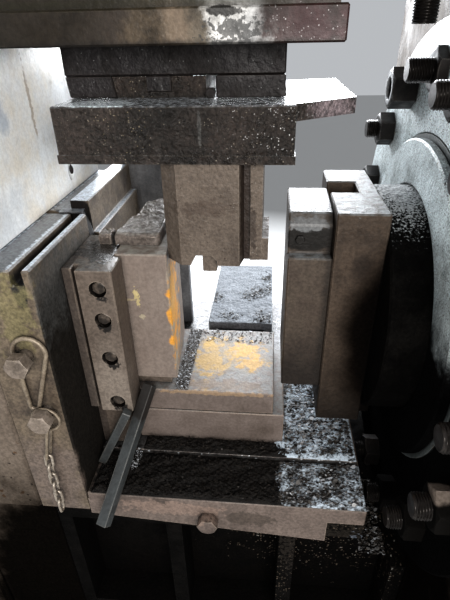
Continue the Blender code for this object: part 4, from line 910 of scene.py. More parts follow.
            Area((-0.065, 0.07, 0.8172), (0.03, 0.03, 0.003), (0.45, 0.28, 0.055), 0.85, 1.4, 42.0, soft=0.6),
            Area((-0.01, -0.105, 0.8172), (0.12, 0.022, 0.003), (0.2, 0.15, 0.11), 0.7, 1.6, 40.0, soft=0.5),
            Area((-0.03, -0.13, 0.812), (0.14, 0.01, 0.006), (0.34, 0.24, 0.15), 0.7, 1.4, 70.0))),
    "table_pale": Finish(
        (0.27, 0.29, 0.315), (0.2, 0.215, 0.24), (0.09, 0.09, 0.095), mottle_scale=26.0, grime_share=0.2,
        grain=0.25, metallic=0.35, relief=0.0045, lumps=0.9, lump_scale=34.0, top=(0.135, 0.148, 0.164),
        top_share=0.9, top_rough=0.7, top_even=0.7,
        specks=(
            Specks((0.07, 0.07, 0.07), 0.1, 90.0),)),
    "guard_grey": Finish(
        (0.2, 0.205, 0.215), (0.14, 0.145, 0.155), (0.05, 0.05, 0.055), mottle_scale=12.0, streaks=0.3,
        grain=0.15, wear=(0.36, 0.35, 0.34)),
    "link_forged": Finish(
        (0.3, 0.25, 0.19), (0.2, 0.16, 0.12), (0.07, 0.055, 0.04), mottle_scale=60.0, streaks=0.0,
        rough=(0.35, 0.55), metallic=0.3, relief=0.0003, crevice=0.5),
    "chain_zinc": Finish(
        (0.46, 0.41, 0.35), (0.3, 0.255, 0.21), (0.07, 0.055, 0.045), mottle_scale=80.0, streaks=0.0,
        rough=(0.3, 0.5), metallic=0.5, relief=0.0003, crevice=0.5),
    "bar_grey": Finish(
        (0.058, 0.064, 0.066), (0.046, 0.049, 0.05), (0.02, 0.02, 0.02), mottle_scale=20.0, grime_share=0.15,
        streaks=0.1, grain=0.15, rough=(0.4, 0.6), relief=0.0004, wear=(0.22, 0.21, 0.19),
        areas=(
            Area((-0.19, -0.17, 0.81), (0.04, 0.05, 0.05), (0.02, 0.016, 0.014), 0.8, 0.5, 30.0),)),
    # Pale grey flange, made paler as painted glare; the pale flecks are painted glints, the pale worn edges
    # also painted rim highlights, and the near-black area low down is painted shade.
    "flange_wet": Finish(
        (0.82, 0.92, 0.94), (0.68, 0.76, 0.77), (0.14, 0.15, 0.145), mottle_scale=12.0, grime_share=0.12,
        grain=0.4, grain_scale=300.0, rough=(0.22, 0.45), metallic=0.0, gloss=0.6, relief=0.0018, lumps=0.8,
        wear=(0.85, 0.87, 0.88), top=(0.26, 0.285, 0.29), top_share=0.9, top_rough=0.5, top_even=0.7,
        specks=(
            Specks((0.8, 0.86, 0.86), 0.2, 260.0, 0.4),
            Specks((0.06, 0.06, 0.055), 0.18, 190.0, 0.4)),
        areas=(
            Area((0.42, -0.25, 0.44), (0.3, 0.95, 0.72), (0.0025, 0.002, 0.002), 0.995, 0.18, 9.0, rough=0.9,
                 soft=0.2),)),
    # Near-black ram: the black stands for the deep shade it lies in.
    "ram_dark": Finish(
        (0.0028, 0.0024, 0.0022), (0.005, 0.0045, 0.004), (0.002, 0.002, 0.002), grain=0.35, rough=(0.7, 0.95),
        metallic=0.0, gloss=0.06, relief=0.003, lumps=0.8, crevice=0.0,
        areas=(
            Area((0.36, 0.05, 1.25), (0.07, 0.18, 0.045), (0.34, 0.36, 0.37), 0.9, 2.4, 200.0, rough=0.5,
                 soft=0.6),)),
    "ram_head": Finish(
        (0.072, 0.052, 0.038), (0.056, 0.04, 0.029), (0.026, 0.019, 0.015), mottle_scale=9.0, grime_share=0.2,
        # Pale blue-grey top: painted highlight.
        streaks=0.3, gloss=0.3, relief=0.0022, wear=(0.16, 0.13, 0.105), top=(0.27, 0.29, 0.3), top_share=0.9,
        top_rough=0.5,
        specks=(
            Specks((0.1, 0.1, 0.1), 0.12, 150.0,
                   where=Area((0.27, 0.05, 1.25), (0.1, 0.3, 0.012), PALE, 0.9, 1.0)),),
        areas=(
            # The near-black area on the right and the darker area low down are painted shade.
            Area((0.352, -0.1, 0.95), (0.128, 0.5, 0.3), (0.0045, 0.0035, 0.003), 0.99, 0.22, 9.0, rough=0.9,
                 soft=0.5),
            Area((0.3, -0.1, 0.62), (0.3, 0.5, 0.36), (0.01, 0.0075, 0.006), 0.9, 0.2, 9.0, soft=0.8),
            Area((0.275, -0.1, 1.14), (0.03, 0.5, 0.04), (0.02, 0.014, 0.011), 0.75, 0.4, 30.0, soft=0.7))),
    "side_die": Finish(
        (0.078, 0.06, 0.046), (0.062, 0.046, 0.036), (0.03, 0.022, 0.017), mottle_scale=12.0, grime_share=0.2,
        # Pale blue-grey top: painted highlight.
        streaks=0.3, grain=0.22, gloss=0.4, relief=0.0014, wear=(0.155, 0.125, 0.1), top=(0.27, 0.285, 0.295),
        top_share=0.9, top_rough=0.45,
        areas=(
            Area((0.17, -0.07, 1.185), (0.08, 0.06, 0.03), (0.008, 0.007, 0.006), 0.97, 0.4, 30.0),
            Area((0.165, -0.07, 1.215), (0.05, 0.06, 0.016), (0.17, 0.175, 0.18), 0.8, 1.1, 50.0),
            # Darker towards the bottom and along the right edge: painted shade.
            Area((0.17, -0.1, 0.8), (0.2, 0.3, 0.22), (0.016, 0.012, 0.01), 0.9, 0.3, 12.0, soft=0.8),
            Area((0.222, -0.1, 1.0), (0.03, 0.3, 0.5), (0.012, 0.009, 0.007), 0.8, 0.3, 12.0, soft=0.8))),
    "nut_dark": Finish(
        (0.016, 0.013, 0.012), (0.028, 0.023, 0.02), (0.006, 0.005, 0.005), mottle_scale=40.0, streaks=0.1,
        rough=(0.35, 0.6), gloss=0.3, relief=0.0006, wear=(0.2, 0.185, 0.17),
        areas=(
            # Near-black over the lower nuts is painted shade; the pale area on an upper nut and the tan areas
            # on two nuts are painted highlights.
            Area((0.38, -0.36, 0.62), (0.3, 0.36, 0.34), (0.004, 0.0035, 0.003), 0.98, 0.1, 30.0, rough=0.8),
            Area((0.364, 0.2827, 1.426), (0.006, 0.041, 0.041), (0.42, 0.43, 0.44), 0.9, 0.3, 60.0),
            Area((0.39, -0.4, 0.885), (0.06, 0.05, 0.034), (0.2, 0.165, 0.14), 0.95, 0.3, 30.0),
            Area((0.39, -0.335, 0.735), (0.05, 0.03, 0.026), (0.11, 0.085, 0.07), 0.95, 0.3, 30.0))),
    # Dark studs; their thread valleys take the painted crevice shade.
    "stud_dark": Finish(
        (0.03, 0.026, 0.024), (0.05, 0.044, 0.04), SOOT_AND_SHADE, mottle_scale=60.0, streaks=0.0, rough=(0.3, 0.5),
        metallic=0.6, relief=0.0003, crevice=0.95, crevice_reach=0.006),
}

# Which finish each CAD node wears, where nothing replaces it
WORN_BY: dict[str, tuple[str, ...]] = {
    "bed_cast": ("bed_beam",),
    "base_steel": ("base_plate", "base_bolt"),
    "bed_plate": ("bed_plate",),
    "housing_old": ("left_housing", "right_housing", "crown"),
    "guide_bright": ("left_guide_plate",),
    "cylinder_paint": ("main_cylinder", "main_gland", "main_lock_ring"),
    "bright_rod": ("main_ram", "guide_rod_left", "guide_rod_right"),
    "slide_paint": ("slide",),
    "adapter_oily": ("adapter_plate", "left_clamp_jaw", "right_clamp_jaw", "holder_key", "clamp_bolt"),
    "holder_oily": ("tool_holder",),
    "punch_steel": ("punch", "punch_peg"),
    "rail_olive": ("front_rail", "rear_rail"),
    "die_holder": ("die_holder", "die_packer"),
    "clip_black": ("rail_clip",),
    "bolt_steel": ("rail_bolt_1", "rail_bolt_2"),
    "stud_dark": ("stop_rod",),
    "bolt_sunk": ("holder_bolt_1", "holder_bolt_2", "holder_bolt_3", "holder_bolt_4"),
    "fixed_die": ("fixed_die", "die_cap", "cap_stop"),
    "lower_die": ("lower_die_base", "lower_die"),
    "table_pale": ("rear_table",),
    "guard_grey": ("rear_guard",),
    "link_forged": ("pear_link", "chain_ring", "oblong_link"),
    "chain_zinc": tuple(f"chain_link_{number}" for number in range(1, 7)),
    "bar_grey": ("leaning_bar", "short_bar"),
    "flange_wet": ("side_flange", "side_gland"),
    "barrel_paint": ("side_cylinder",),
    "ram_dark": ("side_ram",),
    "ram_head": ("ram_head",),
    "side_die": ("side_die", "side_die_bolt"),
}


def dress_nodes(shop: Paintshop, nodes: dict[str, bpy.types.Object]) -> None:
    """Give each CAD node its finish.

    Args:
        shop: where materials are made.
        nodes: the CAD nodes by name.
    """
    for name, wearers in WORN_BY.items():
        material = shop.material(name)
        for node in wearers:
            for slot in nodes[node].material_slots:
                slot.material = material
        log.info("%s on %s", name, ", ".join(wearers))


# ------------------------------------------------------------ sub-assemblies


@dataclass
class Assembly(ABC):
    """Group of pieces that are made together."""

    shop: Paintshop

    @abstractmethod
    def make(self) -> None:
        """Build the pieces."""

    def add(self, name: str, shells: list[Shell], finish: str, slot: str, *stands_for: str,
            body: Body = Body.FRAME, sharp: float = 32.0) -> None:
        """Build one piece in a named finish.

        Args:
            name: the piece's name.
            shells: its closed surfaces.
            finish: name of its finish.
            slot: name of a material slot for its finish; not used.
            stands_for: CAD nodes that it replaces.
            body: CAD body that it rides on.
            sharp: angle over which an edge is shaded sharp, in degrees.
        """
        build(name, shells, self.shop.material(finish), body, stands_for, sharp)


@dataclass(frozen=True)
class Screw:
    """Hexagon screw that points to the front: its seat, sizes, gap under the head, looks and body."""

    seat: Triple
    flats: float
    height: float
    shank: float
    depth: float
    finish: str
    slot: str
    stand: float = 0.0003
    turn: float = 30.0
    body: Body = Body.FRAME

    def shells(self) -> list[Shell]:
        """Head and shank, which reaches from inside the head to a depth behind the seat."""
        x, y, z = self.seat
        head = placed(hexagon(self.flats, self.height, turn=self.turn), (x, y - self.stand, z), Axis.FRONT)
        shank = section(self.shank, 0.0, self.stand + 0.002, -self.depth, 0.001)
        return [lattice(head), revolved(shank, self.seat, Axis.FRONT, 32)]


@dataclass
class Fasteners(Assembly):
    """Screws of the rail, the die holder, the base and the tools, with chamfered hexagons."""

    screws: dict[str, Screw] = field(default_factory=lambda: {
        **{f"rail_bolt_{number}": Screw((x, -0.30, z), 0.041, 0.024, RAIL_SHANK, 0.068, "bolt_steel",
                                        "bolt_steel", stand=0.021)
           for number, (x, z) in enumerate(RAIL_BOLTS, 1)},
        **{f"holder_bolt_{number}": Screw((HOLDER_BOLT_X, -0.172, z), 0.024, 0.022, 0.008, 0.033,
                                          "bolt_sunk", "bolt_steel", turn=0.0)
           for number, z in enumerate(HOLDER_BOLT_LEVELS, 1)},
        "base_bolt": Screw((-0.031, -0.30, 0.583), 0.041, 0.024, 0.0135, 0.035,
                           "base_steel", "base_plate_steel"),
        "clamp_bolt": Screw((-0.0245, -0.04, 1.4575), 0.016, 0.013, 0.0052, 0.03,
                            "adapter_oily", "adapter_oily", body=Body.SLIDE),
        "side_die_bolt": Screw((0.152, -0.07, 1.185), 0.017, 0.008, 0.006, 0.028,
                               "side_die", "ram_head_rust", body=Body.SIDE),
    })

    def make(self) -> None:
        """Build every screw in place of its CAD node."""
        for node, screw in self.screws.items():
            self.add(f"{node}_head", screw.shells(), screw.finish, screw.slot, node, body=screw.body)


# Nut and thread that the side flange's studs and the stop rod share
NUT_FLATS = 0.075
NUT_HEIGHT = 0.040
THREAD_PITCH = 0.005
THREAD_DEPTH = 0.0030


@dataclass
class SideCylinder(Assembly):
    """Side cylinder's flange with its studs and nuts, its gland ring and its ram, all turned."""

    axis_y: float = 0.058
    axis_z: float = 0.985
    face: float = 0.42
    back: float = 0.4597
    flange_r: float = 0.59
    bore_r: float = 0.3753
    gland_r: float = 0.365
    gland_face: float = 0.398
    ram_r: float = 0.265
    play: float = 0.0008
    gap: float = 0.0002
    stud_circle: float = 0.495
    studs: int = 16
    phase: float = 18.0
    stud_r: float = 0.024
    proud: float = 0.070
    lock_nut_stud: int = 3
    lock_nut_height: float = 0.022
    deep_nut_stud: int = 2
    deep_nut: Pair = (0.080, 0.058)
    deep_nut_bore: float = 0.014

    def turned(self, profile: np.ndarray, x: float, ring: bool = True) -> list[Shell]:
        """Profile turned round the cylinder's axis, to the left from x."""
        return [revolved(profile, (x, self.axis_y, self.axis_z), Axis.LEFT, 192, ring)]

    def make(self) -> None:
        """Build the flange, the gland ring, the ram, and the flange's nuts and studs."""
        disc = section(self.flange_r, self.bore_r, 0.0, self.back - self.face, 0.003)
        self.add("flange_disc", self.turned(disc, self.back), "flange_wet", "flange_wet", "side_flange")
        ring = section(self.gland_r, self.ram_r + self.play, 0.0003, self.face - self.gland_face, 0.004)
        self.add("gland_ring", self.turned(ring, self.face), "flange_wet", "flange_wet", "side_gland")
        low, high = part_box("side_ram")
        shaft = section(self.ram_r, 0.0, 0.0, high.x - low.x, 0.004)
        self.add("side_ram_shaft", self.turned(shaft, high.x, False), "ram_dark", "ram_dark", "side_ram",
                 body=Body.SIDE)
        nuts, studs = [], []
        for index in range(self.studs):
            angle = radians(self.phase) + 2 * pi * index / self.studs
            away = self.stud_circle * cos(angle), self.stud_circle * sin(angle)
            seat = (self.face + self.gap, self.axis_y + away[0], self.axis_z + away[1])
            if index == self.deep_nut_stud:
                nut = hexagon(*self.deep_nut, self.stud_r, self.deep_nut_bore)
            else:
                nut = hexagon(NUT_FLATS, self.lock_nut_height if index == self.lock_nut_stud else NUT_HEIGHT)
                stud = thread(self.stud_r, self.proud, THREAD_PITCH, THREAD_DEPTH)
                studs.append(lattice(placed(stud, seat, Axis.LEFT)))
            nuts.append(lattice(placed(nut, seat, Axis.LEFT)))
        self.add("flange_nuts", nuts, "nut_dark", "flange_wet")
        self.add("flange_studs", studs, "stud_dark", "flange_wet")


@dataclass
class RoundBars(Assembly):
    """Main ram, guide rods, the threaded stop rod with its nut, and the slotted lock ring."""

    rods: tuple[str, ...] = ("guide_rod_left", "guide_rod_right")
    stop_rod_r: float = 0.0245
    gap: float = 0.0005
    ring_width: float = 0.0297
    notches: int = 8
    notch_depth: float = 0.012
    notch_start: float = 0.72
    notch_steepness: float = 14.0

    @staticmethod
    def upright(node: str) -> tuple[Triple, float, float]:
        """Foot of a CAD node's upright axis, its radius and its length."""
        low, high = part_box(node)
        return ((low.x + high.x) / 2, (low.y + high.y) / 2, low.z), (high.x - low.x) / 2, high.z - low.z

    def bar(self, node: str, edge: float) -> None:
        """Turned bar that fills its CAD node's box, with a chamfer at both ends."""
        foot, radius, length = self.upright(node)
        shell = revolved(section(radius, 0.0, 0.0, length, edge), foot, Axis.UP, 96)
        self.add(f"{node}_bar", [shell], "bright_rod", "ram_chrome", node, body=Body.SLIDE)

    def lock_ring(self) -> None:
        """Ring nut of the main cylinder: r falls by the slots' depth where cos(notches v) is high."""
        foot, radius, height = self.upright("main_lock_ring")
        profile = section(radius, radius - self.ring_width, 0.0, height, 0.003)
        angle = around(480)
        wave = (np.cos(self.notches * angle) - self.notch_start) * self.notch_steepness
        slot = np.clip(wave, 0.0, 1.0) * self.notch_depth
        cut = profile[:, :1] - slot * (profile[:, :1] > radius - self.notch_depth / 2)
        grid = placed(polar(cut, angle, profile[:, 1:]), foot, Axis.UP)
        self.add("lock_ring_slotted", [lattice(grid, True)], "cylinder_paint",
                 "cylinder_paint", "main_lock_ring")

    def make(self) -> None:
        """Build the bright bars, the lock ring and the stop rod, which hangs down from its upper end."""
        self.bar("main_ram", 0.004)
        for rod in self.rods:
            self.bar(rod, 0.003)
        self.lock_ring()
        (x, y, z), _, length = self.upright("stop_rod")
        stem = thread(self.stop_rod_r, length - self.gap, THREAD_PITCH, THREAD_DEPTH)
        shells = [lattice(placed(grid * (1.0, 1.0, -1.0), (x, y, z + length), Axis.UP))
                  for grid in (stem, hexagon(NUT_FLATS, NUT_HEIGHT))]
        self.add("stop_rod_thread", shells, "stud_dark", "stop_rod_steel", "stop_rod")


@dataclass
class Anchors(Assembly):
    """Anchor studs with washers and nuts in the holes of the feet."""

    spots: tuple[Pair, ...] = ((-0.752, -0.17), (-0.752, 0.20), (0.792, -0.43), (0.792, 0.54))
    foot: float = 0.045
    stud_r: float = 0.015
    proud: float = 0.050
    pitch: float = 0.0035
    thread_depth: float = 0.0018
    sunk: float = 0.002
    washer: Pair = (0.0265, 0.004)
    play: float = 0.0005
    nut: Pair = (0.046, 0.024)
    gap: float = 0.0002

    def make(self) -> None:
        """Build the four anchors as one piece."""
        radius, thick = self.washer
        plate = section(radius, self.stud_r + self.play, 0.0, thick, 0.0008)
        stud = thread(self.stud_r, self.proud + self.foot - self.sunk, self.pitch, self.thread_depth)
        nut = hexagon(*self.nut, turn=17.0)
        shells = []
        for x, y in self.spots:
            seat = (x, y, self.foot + self.gap)
            shells.append(lattice(placed(stud, (x, y, self.sunk), Axis.UP)))
            shells.append(revolved(plate, seat, Axis.UP, 48, True))
            shells.append(lattice(placed(nut, (x, y, seat[2] + thick + self.gap), Axis.UP)))
        self.add("foot_anchors", shells, "nut_dark", "housing_paint")


@dataclass
class WeldSeams(Assembly):
    """Fillet welds along the outer ribs of both housings, with the scallops of hand welding.

    A side is the X of its outer face with the Y of its front and rear. The barrel is the middle of
    the side cylinder, as Y and Z, and the reach within which no bead is laid.
    """

    sides: tuple[Triple, ...] = ((-0.66, -0.30, 0.33), (0.70, -0.56, 0.67))
    rib_half: float = 0.02
    inset: float = 0.05
    span: Pair = (0.046, 1.968)
    radius: float = 0.0055
    scallop: float = 0.011
    sway: float = 0.0008
    barrel: Triple = (0.058, 0.985, 0.389)

    def runs(self, outer: float, row: float) -> list[np.ndarray]:
        """Levels of a bead, in one run, or in two where the side cylinder's barrel cuts the rib.

        Args:
            outer: X of the housing's outer face.
            row: Y of the bead.

        Returns:
            The levels of each run, upwards.
        """
        level = np.arange(self.span[0], self.span[1], self.scallop / 4)
        middle, height, reach = self.barrel
        free = (np.hypot(row - middle, level - height) > reach) | (outer < 0.0)
        return np.split(level, np.flatnonzero(np.diff(free)) + 1)[::2]

    def make(self) -> None:
        """Run a bead up both flanks of every rib: r(z) = radius (0.85 + 0.25 |sin(pi z / scallop)|)."""
        beads = []
        for outer, front, rear in self.sides:
            for middle in (front + self.inset, (front + rear) / 2, rear - self.inset):
                for row in (middle - self.rib_half, middle + self.rib_half):
                    for level in self.runs(outer, row):
                        path = np.stack([0 * level + outer, 0 * level + row, level], -1)
                        path[:, 1] += ripple(path, 9.0, len(beads) + 200) * self.sway
                        swell = self.radius * (0.85 + 0.25 * np.abs(np.sin(pi * level / self.scallop)))
                        beads.append(tube(path, swell, (1.0, 0.0, 0.0), 8, False))
        self.add("rib_welds", beads, "housing_old", "housing_paint", sharp=60.0)


@dataclass(frozen=True)
class Mound:
    """Heap of soot and grit: corners on its plate, level, height, waves per metre and its crests' tone."""

    low: Pair
    high: Pair
    level: float
    height: float
    grain: float = 26.0
    tone: float = 0.1


@dataclass
class Heaps(Assembly):
    """Packed dirt on the bed, as lumpy ground between its edges."""

    step: float = 0.0022
    rim: float = 0.012
    mounds: dict[str, Mound] = field(default_factory=lambda: {
        "base_left": Mound((-0.300, -0.299), (0.136, -0.178), 0.6472, 0.013, 24.0, 0.05),
        "base_right": Mound((0.120, -0.299), (0.319, -0.178), 0.6472, 0.008, 30.0, 1.05),
        "bed_front": Mound((-0.205, -0.1765), (0.150, -0.131), 0.6602, 0.011, 30.0, 0.06),
        "bed_right": Mound((0.116, -0.1765), (0.313, 0.24), 0.6602, 0.008, 30.0, 2.0),
    })

    def ground(self, mound: Mound, seed: int) -> Shell:
        """Heap as loops round its cross-sections.

        Height is level + height * e(x, y) * (0.42 + waves of four sizes), where e rises from 0 at
        the edges over the rim's width. Each row goes over the top and back along the plate.

        Args:
            mound: where it lies and how it looks.
            seed: seed of its waves.

        Returns:
            The closed shell, with the tone of each point.
        """
        (x0, y0), (x1, y1) = mound.low, mound.high
        x = np.linspace(x0, x1, int((x1 - x0) / self.step))[:, None]
        y = np.linspace(y0, y1, int((y1 - y0) / self.step))[None]
        x, y = x + 0.0 * y, y + 0.0 * x
        spot = np.stack([x, y, 0.0 * x], -1)
        waves = sum(share * ripple(spot, mound.grain * size, seed + place)
                    for place, (share, size) in enumerate(((0.32, 0.45), (0.26, 1.3), (0.2, 3.4), (0.12, 7.0))))
        edge = np.minimum.reduce([x - x0, x1 - x, y - y0, y1 - y]) / self.rim
        rise = np.clip(0.42 + waves, 0.03, 1.0) * np.clip(edge, 0.0, 1.0) ** 0.6
        top = np.stack([x, y, mound.level + 0.0006 + mound.height * rise], -1)
        under = np.stack([x, y, 0.0 * x + mound.level], -1)[:, ::-1]
        tone = np.clip(mound.tone * (0.55 + 0.9 * waves + 0.25 * ripple(spot, 90.0, seed + 9)), 0.0, 1.0)
        shell = lattice(np.concatenate([top, under], 1))
        tones = np.concatenate([tone, 0.0 * tone], 1).ravel()
        return Shell(shell.points, shell.faces, np.append(tones, (0.0, 0.0)))

    def make(self) -> None:
        """Lay every heap."""
        material = self.material()
        for seed, (name, mound) in enumerate(self.mounds.items(), 70):
            build(f"heap_{name}", [self.ground(mound, seed)], material, Body.FRAME,
                  sharp=70.0)

    @staticmethod
    def material() -> bpy.types.Material:
        """Soot, brown grit and pale scale by each point's tone, with grains in relief."""
        graph = Graph("packed_dirt")
        grit = graph.noise(230.0, 5.0, 0.7)
        streak = graph.noise(0.0, 4.0, 0.6, (70.0, 260.0, 200.0))
        level = graph.maths("MULTIPLY_ADD", graph.maths("SUBTRACT", streak, 0.5), 1.1, graph.tone())
        colour = graph.ramp(level, ((0.0, (0.006, 0.005, 0.0045)), (0.30, (0.020, 0.016, 0.013)),
                                    (0.55, (0.15, 0.162, 0.175)), (1.0, (0.60, 0.69, 0.78))))
        colour = graph.mix(graph.levels(grit, 0.54, 0.70, 0.0, 0.75), colour, (0.012, 0.009, 0.007))
        graph.surface(colour=colour, rough=0.55, gloss=0.3)
        graph.bump(graph.maths("MULTIPLY_ADD", streak, 0.6, grit), 0.004)
        return graph.material


@dataclass
class DieCap(Assembly):
    """Torn, hammered lump of steel that lies on the fixed die, and its stop."""

    dent: float = 0.0022
    dent_waves: Pair = (28.0, 85.0)
    top_dents: float = 1.6
    straight: float = 0.7

    def lump(self, node: str, seed: int, cut: float) -> Shell:
        """CAD node's outline, raised in rows to a rounded top edge and a dented top.

        A row is the outline drawn in by cut * (1 - sqrt(1 - 0.96 t^2)) near the top, each point moved
        inward by a ripple, so the lump stays inside the outline.

        Args:
            node: CAD node whose outline it follows.
            seed: seed of the dents.
            cut: how far the top edge is rounded.

        Returns:
            The closed shell.
        """
        points = np.array([vertex.co for vertex in bpy.data.objects[node].data.vertices])
        low, high = points.min(0), points.max(0)
        middle = (low + high)[:2] / 2
        way = ways(around(120))
        reach = self.reach(self.hull(points[:, :2]), middle, way)
        flank = (0.0, 0.12, 0.3, 0.5, self.straight)
        edge = self.straight + (1.0 - self.straight) * np.sin(np.linspace(0.1, pi / 2, 7))
        rise = np.concatenate([flank, edge])
        bow = np.clip((rise - self.straight) / (1.0 - self.straight), 0.0, 1.0)
        pull = cut * (1.0 - np.sqrt(1.0 - bow**2 * 0.96))
        flat = np.linspace(0.92, 0.05, 12)
        rows = [(reach - p)[:, None] * way for p in pull]
        rows += [(reach - pull[-1])[:, None] * way * share for share in flat]
        level = list(low[2] + (high[2] - low[2]) * rise) + [high[2]] * len(flat)
        grid = np.stack([np.column_stack([row + middle, np.full(len(row), z)])
                         for row, z in zip(rows, level)])
        broad, fine = (1.0 + ripple(grid, waves, seed + step) for step, waves in enumerate(self.dent_waves))
        dents = broad * 0.5 + 0.35 * fine
        counts = (len(flank), len(edge), len(flat))
        grid[..., :2] -= way * (dents * self.dent * np.repeat((1.0, 1.0, 0.0), counts)[:, None])[..., None]
        grid[..., 2] -= dents * self.dent * self.top_dents * np.repeat((0.0, 0.6, 1.0), counts)[:, None]
        return lattice(grid)

    @staticmethod
    def hull(plan: np.ndarray) -> np.ndarray:
        """Corners of the plan in order round its middle."""
        corner = np.unique(plan.round(5), axis=0)
        away = corner - corner.mean(0)
        return corner[np.argsort(np.arctan2(away[:, 1], away[:, 0]))]

    @staticmethod
    def reach(hull: np.ndarray, middle: np.ndarray, way: np.ndarray) -> np.ndarray:
        """Distance from the middle to the outline along each way, where the ray crosses an edge."""
        start, run = hull - middle, np.roll(hull, -1, 0) - hull
        across = way[:, None, 0] * run[None, :, 1] - way[:, None, 1] * run[None, :, 0]
        across = np.where(np.abs(across) < 1e-12, 1e-12, across)
        away = (start[:, 0] * run[:, 1] - start[:, 1] * run[:, 0])[None] / across
        share = (start[None, :, 0] * way[:, None, 1] - start[None, :, 1] * way[:, None, 0]) / across
        met = (away > 0.0) & (share >= -1e-6) & (share <= 1.0 + 1e-6)
        return np.where(met, away, 0.0).max(1)

    def make(self) -> None:
        """Build the cap and its stop."""
        for node, seed, cut in (("die_cap", 31, 0.010), ("cap_stop", 35, 0.005)):
            lump = self.lump(node, seed, cut)
            self.add(f"{node}_lump", [lump], "die_cap", "fixed_die_steel", node, sharp=60.0)


@dataclass
class OilDrops(Assembly):
    """Drops of black oil that hang from the tool holder's lower edge, each as X, Y and size."""

    spots: tuple[Triple, ...] = ((-0.276, -0.132, 0.0105), (-0.150, -0.120, 0.0035),
                                 (0.060, -0.125, 0.004), (0.118, -0.118, 0.0030))

    def make(self) -> None:
        """Turn each drop: r(t) = 0.36 size sin(pi (1.3 t - 0.3))^0.6, and no less than a thin neck."""
        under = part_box("tool_holder")[0].z
        t = np.linspace(0.0, 1.0, 20)[1:-1]
        shells = []
        for x, y, size in self.spots:
            radius = size * 0.36 * np.maximum(np.sin(pi * np.clip(t * 1.3 - 0.3, 0.0, 1.0)) ** 0.6, 0.14)
            profile = np.stack([radius, 0.0006 - t * size * 2.2], -1)
            shells.append(revolved(profile, (x, y, under), Axis.UP, 24))
        self.add("oil_drops", shells, "adapter_oily", "holder_oily", body=Body.SLIDE)


@dataclass
class HangingChain(Assembly):
    """Pear-shaped link, ring, oblong link and chain, of round wire, hanging on the rail's bolts."""

    pear_wire: float = 0.0045
    pear_y: float = -0.3065
    pear_radii: Pair = (0.0315, 0.009)
    pear_shifts: tuple[Pair, ...] = ((0.011, 0.011), (-0.0205, 0.018))
    ring_wire: float = 0.003
    ring_r: float = 0.028
    chain_y: float = -0.3155
    oblong: Triple = (0.10, 0.027, 0.0035)
    link: Triple = (0.043, 0.0215, 0.0032)
    play: float = 0.0006
    lean: tuple[float, ...] = (13.0, 5.0, 2.0, 1.0, 0.0, 1.0, 0.0)

    @staticmethod
    def loop(top: Pair, top_r: float, low: Pair, low_r: float, steps: int) -> np.ndarray:
        """Flat loop round two circles: an arc of each, joined by their common tangents.

        Args:
            top: centre of the first circle.
            top_r: its radius.
            low: centre of the second circle.
            low_r: its radius.
            steps: points on each arc.

        Returns:
            Points (u, v), (4 * steps, 2).
        """
        run = np.subtract(low, top)
        length = np.hypot(*run)
        tilt = np.arccos((top_r - low_r) / length) if length > 1e-6 else pi / 2
        heading = np.arctan2(run[1], run[0])
        arc_a = np.asarray(top) + top_r * ways(np.linspace(heading + tilt, heading + 2 * pi - tilt, steps))
        arc_b = np.asarray(low) + low_r * ways(np.linspace(heading - tilt, heading + tilt, steps))
        share = np.linspace(0.0, 1.0, steps + 2)[1:-1, None]
        side_a = arc_a[-1] + (arc_b[0] - arc_a[-1]) * share
        side_b = arc_b[-1] + (arc_a[0] - arc_b[-1]) * share
        return np.vstack([arc_a, side_a, arc_b, side_b])

    @staticmethod
    def wire(outline: np.ndarray, origin: np.ndarray, across: Triple, up: Triple, radius: float,
             seed: int) -> Shell:
        """Wire loop in the plane of across and up, with slight dents in its thickness.

        Args:
            outline: centre line as (u, v), (n, 2).
            origin: where u = v = 0.
            across: direction of u.
            up: direction of v.
            radius: wire radius.
            seed: seed of the dents.

        Returns:
            The closed shell.
        """
        path = origin + outline[:, :1] * np.asarray(across) + outline[:, 1:] * np.asarray(up)
        worn = radius * (1.0 - 0.035 * (1.0 + ripple(path, 90.0, seed)))
        return tube(path, worn, tuple(np.cross(across, up)))

    def make(self) -> None:
        """Build the pear link and everything that hangs on the lower bolt."""
        upright = ((1.0, 0.0, 0.0), (0.0, 0.0, 1.0))
        (top, low), (x, z) = np.add(RAIL_BOLTS, self.pear_shifts), RAIL_BOLTS[1]
        pear = self.loop(top, self.pear_radii[0], low, self.pear_radii[1], 28)
        shell = self.wire(pear, np.array((0.0, self.pear_y, 0.0)), *upright, self.pear_wire, 3)
        self.add("pear_link_wire", [shell], "link_forged", "link_forged", "pear_link")
        middle = z + RAIL_SHANK + self.ring_wire + self.play - self.ring_r
        ring = self.ring_r * ways(around(64))
        shell = self.wire(ring, np.array((x, self.chain_y, middle)), *upright, self.ring_wire, 4)
        self.add("chain_ring_wire", [shell], "link_forged", "link_forged", "chain_ring")
        hook, above = np.array((x, self.chain_y, middle - self.ring_r)), self.ring_wire
        for index, lean in enumerate(map(radians, self.lean)):
            length, width, wire = self.link if index else self.oblong
            up = np.array((sin(lean), 0.0, cos(lean)))
            across = (cos(lean), 0.0, -sin(lean)) if index % 2 else (0.0, 1.0, 0.0)
            half, bend = length / 2 - wire, width / 2 - wire
            top = hook + up * (above + wire + self.play)
            outline = self.loop((0.0, half - bend), bend, (0.0, bend - half), bend, 14)
            shell = self.wire(outline, top - up * half, across, tuple(up), wire, 10 + index)
            node, finish = (f"chain_link_{index}", "chain_zinc") if index else ("oblong_link", "link_forged")
            self.add(f"{node}_wire", [shell], finish, finish, node)
            hook, above = top - up * 2 * half, wire


